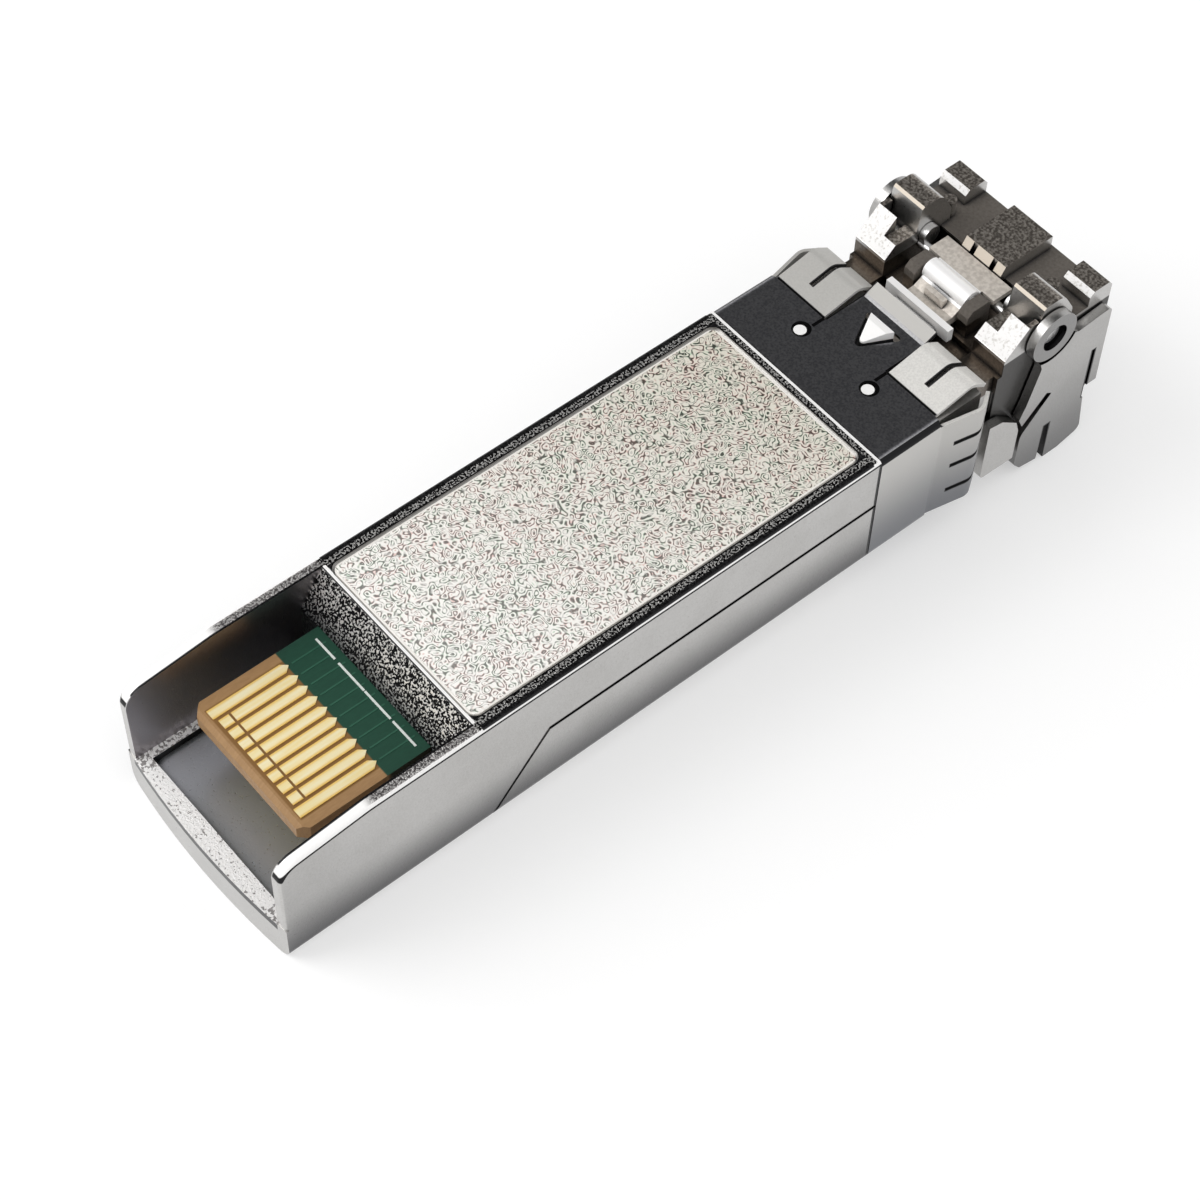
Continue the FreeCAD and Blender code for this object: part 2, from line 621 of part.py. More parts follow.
def latch_lever():
    """Rocking lever on a pin across the nose, with the wedge that locks in a cage."""
    hub = rod_y(LEVER_HUB_R, LEVER_X, (-LEVER_HUB_HALF, LEVER_HUB_HALF), LEVER_Z)
    plate_low, plate_top = LEVER_PLATE_Z
    plate = box(LEVER_PLATE, (-LEVER_PLATE_HALF, LEVER_PLATE_HALF), LEVER_PLATE_Z)
    neck_x = (LEVER_X, LEVER_PLATE[0] + 0.1)
    neck = box(neck_x, (-LEVER_HUB_HALF, LEVER_HUB_HALF), (plate_low - 0.2, plate_top))
    arm_rear, arm_low, arm_top = LEVER_ARM
    arm_side = [
        (arm_rear, arm_low),
        (arm_rear, arm_top, 0.2),
        (SHORT_RIB_X[0], arm_top),
        (LEVER_X - 0.4, LEVER_Z),
        (LEVER_X, LEVER_Z),
        (LEVER_X, LEVER_Z - LEVER_HUB_R),
        (SHORT_RIB_X[1], arm_low),
    ]
    arm = prism("xz", arm_side, -LEVER_ARM_HALF, LEVER_ARM_HALF)
    cross_rib = box(CROSS_RIB_X, (-CROSS_RIB_HALF, CROSS_RIB_HALF), (arm_low + 0.2, RIB_TOP))
    short_rib = box(SHORT_RIB_X, (-SHORT_RIB_HALF, SHORT_RIB_HALF), (arm_low + 0.2, RIB_TOP))
    wedge_foot = arm_top - 0.2
    wedge_top = HEIGHT + LATCH_HEIGHT
    wedge_plan = [
        (WEDGE_APEX, 0, 0.2),
        (LATCH_SHOULDER, -WEDGE_HALF),
        (LATCH_SHOULDER, WEDGE_HALF),
    ]
    rise = [
        (arm_rear, wedge_foot),
        (arm_rear, HEIGHT - 0.1),
        (WEDGE_CREST, wedge_top),
        (LATCH_SHOULDER + 1, wedge_top),
        (LATCH_SHOULDER + 1, wedge_foot),
    ]
    wedge = prism("xy", wedge_plan, wedge_foot, wedge_top).common(prism("xz", rise, -HALF, HALF))
    pin_hole = rod_y(LEVER_PIN_R + RUNNING_GAP / 2, LEVER_X, (-HALF, HALF), LEVER_Z)
    return hub.fuse([plate, neck, arm, cross_rib, short_rib, wedge]).cut(pin_hole).removeSplitter()


def lever_pivot_pin():
    return rod_y(LEVER_PIN_R, LEVER_X, (-LEVER_PIN_HALF, LEVER_PIN_HALF), LEVER_Z)


def latch_spring():
    """Leaf on the nose's spigot that keeps the lever's rear arm up."""
    floor = SPIGOT_Z[1]
    leaf = [
        (46.1, floor),
        (46.1, floor + 0.12),
        (44.9, floor + 0.12, 0.6),
        (43.5, LEVER_ARM[1] - 0.04),
        (43.42, LEVER_ARM[1] - 0.14),
        (44.87, floor, 0.5),
    ]
    return prism("xz", leaf, -0.9, 0.9)


def bail_pivots():
    """Stub pivot of each bail arm: a journal, a web and a crank pin under the lever's plate."""
    crank = math.radians(CRANK_REST_DEG)
    along = Vector(math.cos(crank), 0, math.sin(crank))
    aside = Vector(-along.z, 0, along.x)
    web_outline = []
    for end, side in ((0, -1), (1, -1), (1, 1), (0, 1)):
        corner = along * WEB_SPAN[end] + aside * (side * WEB_HALF[end])
        web_outline.append((BAIL_X + corner.x, BAIL_Z + corner.z))
    web = prism("xz", web_outline, WEB_Y[0], WEB_Y[1])
    journal = rod_y(JOURNAL_R, BAIL_X, (WEB_Y[0], ARM_OUT - EYE_SOCKET_DEPTH), BAIL_Z)
    pin_y = (CRANK_PIN_START, WEB_Y[1])
    pin = rod_y(CRANK_PIN_R, BAIL_X + CRANK_R * along.x, pin_y, BAIL_Z + CRANK_R * along.z)
    stub = journal.fuse([web, pin]).removeSplitter()
    return Part.makeCompound([stub, stub.mirror(Vector(0, 0, 0), Vector(0, 1, 0))])


def bail():
    """Cast bail: two side arms and the handle that lies across the nose, under its front edge."""
    heel = (55.8, BAIL_BOTTOM + 0.45, 0.5)
    arm_outline = [
        (BAIL_X, BAIL_Z),
        (50.75, 7.4),
        (51.05, 6.5, 0.5),
        (50.4, 3.85, 0.4),
        (50.05, 2.9),
        (50.4, 2.15),
        (52.05, 3.8),
        (52.4, 3.55),
        (51.35, 2.3, 0.6),
        (50.45, 1.2, 1.0),
        (50.45, -1.3, 0.3),
        (51.0, -1.95),
        (52.35, -2.2),
        (52.45, 0.6),
        (52.85, 0.6),
        (52.95, BAIL_BOTTOM),
        (54.1, BAIL_BOTTOM),
        heel,
        (55.3, ARM_STEP_Z),
        (56.25, ARM_STEP_Z),
        (56.15, 8.0, 0.3),
        (53.6, 7.8),
    ]
    eye = rod_y(EYE_R, BAIL_X, (ARM_IN, ARM_OUT), BAIL_Z)
    arm = prism("xz", arm_outline, ARM_IN, ARM_OUT).fuse(eye)
    groove_y = (ARM_OUT - EYE_GROOVE_DEPTH, HALF)
    groove = rod_y(EYE_R + EYE_GROOVE, BAIL_X, groove_y, BAIL_Z).cut(rod_y(EYE_R, BAIL_X, groove_y, BAIL_Z))
    socket = rod_y(EYE_SOCKET_R, BAIL_X, (ARM_OUT - EYE_SOCKET_DEPTH, HALF), BAIL_Z)
    slit = box(ARM_SLIT, groove_y, (ARM_STEP_Z - 1, ARM_SLIT_TOP))
    arm = arm.cut(groove).cut(socket).cut(slit).cut(rod_y(JOURNAL_R, BAIL_X, (0, HALF), BAIL_Z))
    reach = math.hypot(LENGTH - BAIL_X, FRONT_LIP_Z - BAIL_Z) + 0.2
    bar_outline = [(52.95, 1.5), (52.95, BAIL_BOTTOM), (54.1, BAIL_BOTTOM), heel, (55.4, 1.5)]
    bar = prism("xz", bar_outline, -ARM_IN, ARM_IN)
    bar = bar.cut(rod_y(reach, BAIL_X, (-HALF, HALF), BAIL_Z))
    return both_sides(arm).fuse(bar).removeSplitter()


def circuit_board():
    """Board with a narrow tail that stands out of the bulkhead as the edge connector."""
    tail = BOARD_TAIL_WIDTH / 2
    wide = INNER - 0.4
    shoulder = MOUTH_END + BULKHEAD + 0.3
    plan = [
        (BOARD_REAR, -tail + BOARD_CORNER),
        (BOARD_REAR + BOARD_CORNER, -tail),
        (shoulder, -tail),
        (shoulder, -wide),
        (BOARD_END, -wide),
        (BOARD_END, wide),
        (shoulder, wide),
        (shoulder, tail),
        (BOARD_REAR + BOARD_CORNER, tail),
        (BOARD_REAR, tail - BOARD_CORNER),
    ]
    board = prism("xy", plan, BOARD_BOTTOM, BOARD_TOP)
    bevel = [
        (BOARD_REAR - 1, BOARD_TOP - BOARD_BEVEL),
        (BOARD_REAR, BOARD_TOP - BOARD_BEVEL),
        (BOARD_REAR + BOARD_BEVEL, BOARD_TOP),
        (BOARD_REAR + BOARD_BEVEL, BOARD_TOP + 1),
        (BOARD_REAR - 1, BOARD_TOP + 1),
    ]
    return board.cut(prism("xz", bevel, -HALF, HALF))


def contact_row(level, with_short_pads):
    """Gold fingers on one face of the tail. The outer two run to the end, as they mate first."""
    half = FINGER_WIDTH / 2
    tip = BOARD_REAR + FINGER_FRONT
    shoulder = tip - FINGER_POINT
    pads = []
    for k in range(10):
        y = (k - 4.5) * CONTACT_PITCH
        long_one = k in (0, 9) or not with_short_pads
        rear = BOARD_REAR + (FINGER_REAR if long_one else SHORT_PAD[1] + PAD_GAP)
        plan = [(rear, y - half), (shoulder, y - half), (tip, y), (shoulder, y + half), (rear, y + half)]
        pads.append(prism("xy", plan, level, level + CONTACT_THICK))
        if not long_one:
            pad_x = (BOARD_REAR + SHORT_PAD[0], BOARD_REAR + SHORT_PAD[1])
            pads.append(box(pad_x, (y - half, y + half), (level, level + CONTACT_THICK)))
    return Part.makeCompound(pads)


def receptacle(y):
    """Turned fibre receptacle: flange, body and a barrel with the ferrule bore."""
    flange_r = RECEPTACLE_BODY_R + 0.35
    profile = [
        (CAN_FRONT, 0),
        (CAN_FRONT, flange_r),
        (SPIGOT_START - 0.02, flange_r),
        (SPIGOT_START - 0.02, RECEPTACLE_BODY_R),
        (46.25, RECEPTACLE_BODY_R),
        (46.25, RECEPTACLE_R),
        (52.0, RECEPTACLE_R),
        (52.0, FERRULE_BORE_R + 0.2),
        (51.8, FERRULE_BORE_R),
        (47.0, FERRULE_BORE_R),
        (47.0, 0),
    ]
    points = [Vector(x, y, PORT_AXIS_Z + r) for x, r in profile]
    face = Part.Face(Part.makePolygon(points + [points[0]]))
    return face.revolve(Vector(0, y, PORT_AXIS_Z), Vector(1, 0, 0), 360)


def optical_can(y):
    """Header and cap of the laser or photodiode, with its leads."""
    header_front = CAN_REAR + HEADER_THICK
    header = rod_x(HEADER_R, (CAN_REAR, header_front), y, PORT_AXIS_Z)
    cap = rod_x(CAP_R, (header_front - 0.1, CAN_FRONT), y, PORT_AXIS_Z)
    leads = []
    for a in (y - LEAD_OFFSET, y + LEAD_OFFSET):
        for b in (PORT_AXIS_Z - LEAD_OFFSET, PORT_AXIS_Z + LEAD_OFFSET):
            across = (a - LEAD_HALF, a + LEAD_HALF)
            leads.append(box((FLEX_X, CAN_REAR + 0.1), across, (b - LEAD_HALF, b + LEAD_HALF)))
    return header.fuse([cap] + leads).removeSplitter()


def flex_lead(y):
    """Flexible circuit from an optical can's leads to the board's lower face."""
    rear_face = FLEX_X - FLEX_THICK
    strip = [
        (FLEX_X, FLEX_FOOT),
        (FLEX_X, BOARD_BOTTOM, 0.6),
        (FLEX_END, BOARD_BOTTOM),
        (FLEX_END, BOARD_BOTTOM - FLEX_THICK),
        (rear_face, BOARD_BOTTOM - FLEX_THICK, 0.6 - FLEX_THICK),
        (rear_face, FLEX_FOOT),
    ]
    return prism("xz", strip, y - FLEX_HALF, y + FLEX_HALF)


def optics_clamp():
    """Plate that holds both receptacles' flanges against the nose."""
    plate = box(CLAMP_X, (-CLAMP_HALF, CLAMP_HALF), CLAMP_Z)
    for y in (-PORT_Y, PORT_Y):
        plate = plate.cut(rod_x(CAP_R + RUNNING_GAP, (CLAMP_X[0] - 1, CLAMP_X[1] + 1), y, PORT_AXIS_Z))
    return plate


def chip(x, y, size):
    """A moulded package under the board, centred at x, y."""
    along = (x - size[0] / 2, x + size[0] / 2)
    across = (y - size[1] / 2, y + size[1] / 2)
    return box(along, across, (BOARD_BOTTOM - CHIP_HEIGHT, BOARD_BOTTOM))


def capacitors():
    """Two rows of small chip capacitors on the board's upper face."""
    pieces = []
    for k in range(6):
        for y in (-3.2, 3.2):
            x = 16 + 3.2 * k
            pieces.append(box((x, x + 1.0), (y - 0.25, y + 0.25), (BOARD_TOP, BOARD_TOP + 0.5)))
    return Part.makeCompound(pieces)


def thermal_pad():
    return box(PAD_X, (-PAD_HALF, PAD_HALF), (PEDESTAL_TOP, BOARD_BOTTOM - CHIP_HEIGHT))


nodes = {
    "base_shell": base_shell(),
    "cover_shell": cover_shell(),
    "nose_housing": nose_housing(),
    "emi_collar": emi_collar(),
    "latch_lever": latch_lever(),
    "lever_pivot_pin": lever_pivot_pin(),
    "latch_spring": latch_spring(),
    "bail": bail(),
    "bail_pivots": bail_pivots(),
    "circuit_board": circuit_board(),
    "upper_contacts": contact_row(BOARD_TOP, True),
    "lower_contacts": contact_row(BOARD_BOTTOM - CONTACT_THICK, False),
    "transmitter_receptacle": receptacle(-PORT_Y),
    "receiver_receptacle": receptacle(PORT_Y),
    "transmitter_can": optical_can(-PORT_Y),
    "receiver_can": optical_can(PORT_Y),
    "transmitter_flex": flex_lead(-PORT_Y),
    "receiver_flex": flex_lead(PORT_Y),
    "optics_clamp": optics_clamp(),
    "driver_chip": chip(29, -2.3, (4, 4)),
    "amplifier_chip": chip(29, 2.4, (3, 3)),
    "controller_chip": chip(20.5, 0, (5, 5)),
    "memory_chip": chip(15.4, 0, (2, 3)),
    "capacitors": capacitors(),
    "thermal_pad": thermal_pad(),
}

os.makedirs("parts", exist_ok=True)
to_frame = Vector(-LENGTH / 2, 0, -BAIL_BOTTOM)
for name, shape in nodes.items():
    shape.translate(to_frame)
    shape.exportStep("parts/" + name + ".step")
    state = "valid" if shape.isValid() else "not valid"
    print(name, len(shape.Solids), "solid(s)", round(shape.Volume, 2), "mm3", state)
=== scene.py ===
# %% [markdown]
# Dressing a pluggable optical transceiver
#
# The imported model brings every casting, spring and pin at its true size. This lesson gives those
# solids their finishes, smooths the curves that catch light, adds the fine things on the circuit
# board and sets up the camera and the studio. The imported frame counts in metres.

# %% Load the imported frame
import math

import bmesh
import bpy
from mathutils import Matrix, Vector


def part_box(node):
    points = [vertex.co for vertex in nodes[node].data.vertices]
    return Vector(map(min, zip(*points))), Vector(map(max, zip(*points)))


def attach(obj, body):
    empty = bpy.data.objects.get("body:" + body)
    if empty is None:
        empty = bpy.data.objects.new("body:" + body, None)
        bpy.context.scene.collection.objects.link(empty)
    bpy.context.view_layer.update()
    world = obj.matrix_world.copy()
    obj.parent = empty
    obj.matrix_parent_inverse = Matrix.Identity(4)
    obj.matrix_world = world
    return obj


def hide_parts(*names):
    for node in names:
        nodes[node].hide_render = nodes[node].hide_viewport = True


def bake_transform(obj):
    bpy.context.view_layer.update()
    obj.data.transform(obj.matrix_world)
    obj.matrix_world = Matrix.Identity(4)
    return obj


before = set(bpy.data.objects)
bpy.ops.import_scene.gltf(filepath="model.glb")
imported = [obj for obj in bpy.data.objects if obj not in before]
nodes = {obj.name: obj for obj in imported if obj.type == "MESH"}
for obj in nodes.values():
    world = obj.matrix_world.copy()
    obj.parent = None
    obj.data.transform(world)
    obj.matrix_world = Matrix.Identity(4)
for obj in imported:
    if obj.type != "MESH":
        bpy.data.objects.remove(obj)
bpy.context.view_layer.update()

scene = bpy.context.scene

# %% [markdown]
# A working ruler
#
# The drawing of such a module counts millimetres from its rear end, from its middle plane and from
# the face of its cover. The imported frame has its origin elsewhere, so one small helper turns the
# drawing's millimetres into the frame's metres, and the materials use the same ruler.

# %% The ruler
MM = 0.001
REAR_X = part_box("base_shell")[0].x
COVER_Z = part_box("cover_shell")[0].z


def at(x, y, z):
    """A point given in the drawing's millimetres, in the frame's metres."""
    return Vector((REAR_X + x * MM, y * MM, COVER_Z + z * MM))


print("rear end at x", round(REAR_X, 5), "and cover face at z", round(COVER_Z, 5))

# %% [markdown]
# Shader sums in plain Python
#
# A finish is easier to read as a sum than as a wall of nodes. A Tone wraps one socket, and adding or
# multiplying Tones adds the Math nodes. The reflected forms make 1 - mask work as well.

# %% Tones
class Tone:
    """A shader value that can be added, subtracted, multiplied and divided."""

    def __init__(self, graph, socket):
        self.graph = graph
        self.socket = socket

    def math(self, operation, first, second=0.0):
        return self.graph.add("ShaderNodeMath", {"operation": operation}, _0=first, _1=second)

    def __add__(self, other):
        return self.math("ADD", self, other)

    def __radd__(self, other):
        return self.math("ADD", other, self)

    def __sub__(self, other):
        return self.math("SUBTRACT", self, other)

    def __rsub__(self, other):
        return self.math("SUBTRACT", other, self)

    def __mul__(self, other):
        return self.math("MULTIPLY", self, other)

    def __rmul__(self, other):
        return self.math("MULTIPLY", other, self)

    def __truediv__(self, other):
        return self.math("DIVIDE", self, other)

    def __rtruediv__(self, other):
        return self.math("DIVIDE", other, self)

    def __neg__(self):
        return self.math("MULTIPLY", self, -1.0)

    def __abs__(self):
        return self.math("ABSOLUTE", self)


def rgb(red, green, blue):
    return (red, green, blue, 1.0)


print("Tones are ready")

# %% [markdown]
# A Graph is a node tree with one method, add(), for any other node: its type, then its settings, then
# the values or links of its sockets. A mask is a value that is 1 where a finish applies. Masks are
# cut by soft steps, because a hard step would leave a jagged border.

# %% Graphs
class Graph:
    """A node tree that is written as Python expressions."""

    def __init__(self, tree):
        self.tree = tree

    def add(self, kind, settings=None, out=0, **values):
        """Add a node. A socket is given by its name, by its identifier or, as _0, by its number."""
        node = self.tree.nodes.new(kind)
        for key, value in (settings or {}).items():
            setattr(node, key, value)
        by_identifier = {socket.identifier: socket for socket in node.inputs}
        for key, value in values.items():
            if key[0] == "_":
                socket = node.inputs[int(key[1:])]
            else:
                socket = by_identifier.get(key) or node.inputs[key.replace("_", " ")]
            if isinstance(value, Tone):
                self.tree.links.new(value.socket, socket)
            else:
                socket.default_value = value
        return Tone(self, node.outputs[out])

    def step(self, value, low, high):
        """0 below low, 1 above high, and a soft step between them."""
        return self.add(
            "ShaderNodeMapRange", {"interpolation_type": "SMOOTHSTEP"},
            Value=value, From_Min=low, From_Max=high, To_Min=0.0, To_Max=1.0,
        )

    def past(self, value, edge, soft=0.05):
        """1 where the value is past the edge. The step reaches as far as soft on either side."""
        return self.step(value, edge - soft, edge + soft)

    def between(self, value, low, high, soft=0.05):
        """1 where the value lies between low and high."""
        return self.past(value, low, soft) * (1 - self.past(value, high, soft))

    def any_of(self, *masks):
        """1 where any of the masks is set."""
        total = masks[0]
        for mask in masks[1:]:
            total = total + mask
        return self.step(total, 0.3, 0.7)

    def distance(self, across, along):
        """How far a point lies from a centre, from its distances along two axes."""
        return self.add("ShaderNodeMath", {"operation": "SQRT"}, _0=across * across + along * along)

    def mix(self, mask, first, second):
        """The first colour where the mask is 0, the second where it is 1."""
        return self.add(
            "ShaderNodeMix", {"data_type": "RGBA"}, out=2,
            Factor_Float=mask, A_Color=first, B_Color=second,
        )


print("Graphs are ready")

# %% [markdown]
# A Finish is the graph of one material. Its x, y and z are the drawing's millimetres, so that a mask
# such as "behind 12.4 mm and facing up" can be written down straight from the drawing. Everything is
# read from Object coordinates, which stay with a piece when it moves.

# %% Finishes
CREVICE_RAYS = 6
OPEN_SPACE = (0.4, 0.9)
BUMP_STRENGTH = 0.5


class Finish(Graph):
    """One material whose colour, roughness and relief are written as sums of Tones."""

    def __init__(self, name, **constants):
        self.material = bpy.data.materials.new(name)
        self.material.use_nodes = True
        super().__init__(self.material.node_tree)
        self.shader = self.tree.nodes["Principled BSDF"]
        for key, value in constants.items():
            self.shader.inputs[key.replace("_", " ")].default_value = value
        place = self.add("ShaderNodeTexCoord", out="Object")
        offset = (-REAR_X / MM, 0, -COVER_Z / MM)
        scale = (1 / MM, 1 / MM, 1 / MM)
        self.ruler = self.add("ShaderNodeMapping", Vector=place, Location=offset, Scale=scale)
        self.x, self.y, self.z = self.split(self.ruler)

    def split(self, vector):
        axes = self.add("ShaderNodeSeparateXYZ", _0=vector)
        return [Tone(self, socket) for socket in axes.socket.node.outputs]

    def facing(self):
        """How far the surface faces along X, Y and Z, each from -1 to 1."""
        return self.split(self.add("ShaderNodeNewGeometry", out="Normal"))

    def noise(self, scale, detail, seed, stretch=(1, 1, 1)):
        """Smooth noise with about scale bumps per millimetre."""
        place = self.add("ShaderNodeVectorMath", {"operation": "MULTIPLY"}, _0=self.ruler, _1=stretch)
        return self.add(
            "ShaderNodeTexNoise", {"noise_dimensions": "4D"}, out="Fac",
            Vector=place, Scale=scale, Detail=detail, W=seed,
        )

    def crevice_shade(self, reach):
        """1 in slits and inner corners that are narrower than about reach millimetres; it marks where
        shade is painted.
        """
        settings = {"samples": CREVICE_RAYS, "only_local": True}
        space = self.add("ShaderNodeAmbientOcclusion", settings, out="AO", Distance=reach * MM)
        return 1 - self.step(space, *OPEN_SPACE)

    def feed(self, relief, depth, **sockets):
        """Link results to the shader. The relief's depth is in millimetres."""
        bump = self.add("ShaderNodeBump", Strength=BUMP_STRENGTH, Distance=depth * MM, Height=relief)
        for key, tone in dict(sockets, Normal=bump).items():
            self.tree.links.new(tone.socket, self.shader.inputs[key.replace("_", " ")])
        return self.material


def dress(material, *names):
    for name in names:
        nodes[name].data.materials.clear()
        nodes[name].data.materials.append(material)
    print(material.name, "on", ", ".join(names))


print("finishes read the drawing's millimetres")

# %% [markdown]
# Satin castings
#
# The shells, the nose and the bail are zinc castings with a thin satin plating. A smooth metal alone
# looks like chrome, so a slow cloud varies the tone, a fine grain varies the roughness, and a shallow
# relief gives the slight orange peel of a cast skin.

# %% Satin plating
FINE = 0.02
# Near white for worn places and for painted highlights; near black for dirt in joints and for painted
# shade in slits, corners and crevices.
WORN_AND_LIT_WHITE = rgb(0.95, 0.94, 0.93)
GRIME_AND_SHADE = rgb(0.02, 0.02, 0.021)


def satin(name, level=0.55):
    """A plated finish to build on, with its colour, its roughness and its grain."""
    finish = Finish(name, Metallic=1.0)
    cloud = finish.noise(scale=0.35, detail=3.0, seed=1.0)
    grain = finish.noise(scale=9.0, detail=2.0, seed=2.0)
    dark = rgb(level * 0.90, level * 0.885, level * 0.86)
    light = rgb(level * 1.04, level * 1.025, level * 1.005)
    blotch = 0.5 * finish.step(cloud, 0.35, 0.65) + 0.5 * finish.step(grain, 0.4, 0.6)
    rough = 0.23 + 0.14 * grain
    return finish, finish.mix(blotch, dark, light), rough, grain


print("satin varies its tone and its roughness")

# %% [markdown]
# The cover closes the body below. Its sides, like the rear shell's, are painted darker low down and
# round the rear end as shade. Dirt gathers along the line where both shells meet: it rises from the
# cover's rear foot and then runs level to the front. Both shells need these two masks, so each is a
# function.

# %% Cover
SIDEWAYS = (0.7, 0.9)
SHADE_TONE = rgb(0.08, 0.08, 0.085)
SHADE_TOP = 4.6
TAIL_SPAN = (-1.0, 12.0)
TAIL_LEAN = 0.6
SEAM_FOOT = 12.7
SEAM_Z = 4.83
SEAM_SLOPE = 1.2075
SEAM_HALF = 0.14
BODY_END = 38.75
END_LINE = 0.15
SIDE_FACE = 6.45


def shaded(finish, colour):
    """Painted shade: darker low on the sides and round the rear end."""
    sideways = finish.step(abs(finish.facing()[1]), *SIDEWAYS)
    low = 1 - finish.step(finish.z, 0.0, SHADE_TOP)
    tail = 1 - finish.step(finish.x + TAIL_LEAN * finish.z, *TAIL_SPAN)
    side_shade = (0.95 * low + 0.4 * tail * (1 - low)) * (0.1 + 0.9 * sideways)
    return finish.mix(side_shade, colour, SHADE_TONE)


def parting(finish):
    """1 along the shells' parting line and at the body's front end, where dirt gathers."""
    rise = (finish.x - SEAM_FOOT) * SEAM_SLOPE
    line = finish.add("ShaderNodeMath", {"operation": "MINIMUM"}, _0=rise, _1=SEAM_Z)
    seam = 1 - finish.past(abs(finish.z - line), SEAM_HALF, FINE)
    end = finish.past(finish.x, BODY_END - END_LINE, FINE)
    return finish.any_of(seam, end) * finish.past(abs(finish.y), SIDE_FACE)


def cover_finish():
    finish, colour, rough, grain = satin("cover_plating")
    colour = finish.mix(parting(finish), shaded(finish, colour), GRIME_AND_SHADE)
    return finish.feed(Base_Color=colour, Roughness=rough, relief=grain, depth=0.02)


dress(cover_finish(), "cover_shell")

# %% [markdown]
# The rear shell has rougher places. The end wall of the trough and the rim round the label are left
# as cast: black and white specks stand for their sparkle, as painted glints that are painted darker
# deep in the trough as shade. The tops of the trough's walls, its sill, the lips and the studs are
# rubbed bright and painted white as highlights, and a thin painted highlight runs along the upper
# rounded edges. The walls inside are painted darker as shade, and the floor of the pocket has only a
# dark flash of plating. Thin dark lines along the rim, the edges and the pocket's walls and corners
# are painted shade. Each place is a mask, and the colours are laid over each other from the plating
# up to the painted shade.

# %% Rear shell
UPWARD = (0.6, 0.9)
LEANING = (0.3, 0.5)
LOW_BEVEL = (0.10, 0.45)
HIGH_BEVEL = (0.48, 0.93)
TROUGH_HALF = 6.0
TROUGH_END = 12.4
END_WALL_FOOT = 10.6
SILL_Z = 2.6
SILL_SIDE = 5.0
WALL_TOP_Z = 7.4
BEVEL_FOOT = 7.1
BRINK_Y = 6.12
WALL_HIGHLIGHT_SPAN = (4.5, 7.5)
FACE_Z = 8.5
SPECKLE_Y = (5.93, 6.3)
RIM_SHADE_X = (12.65, 38.3)
STUD_X = 41.5
STUD_REACH = 0.5
GLINT_SHADE_SPAN = (6.0, 7.6)
SHADED_GLINT = rgb(0.08, 0.09, 0.09)
PAINTED_GLINT = rgb(0.72, 0.71, 0.69)
CAST_PIT = rgb(0.008, 0.008, 0.009)
RIM_PIT = rgb(0.30, 0.28, 0.28)
INNER_WALL_SHADE = rgb(0.34, 0.32, 0.34)
POCKET_FLASH = rgb(0.56, 0.585, 0.61)
SILL_SPOT = rgb(0.30, 0.285, 0.28)


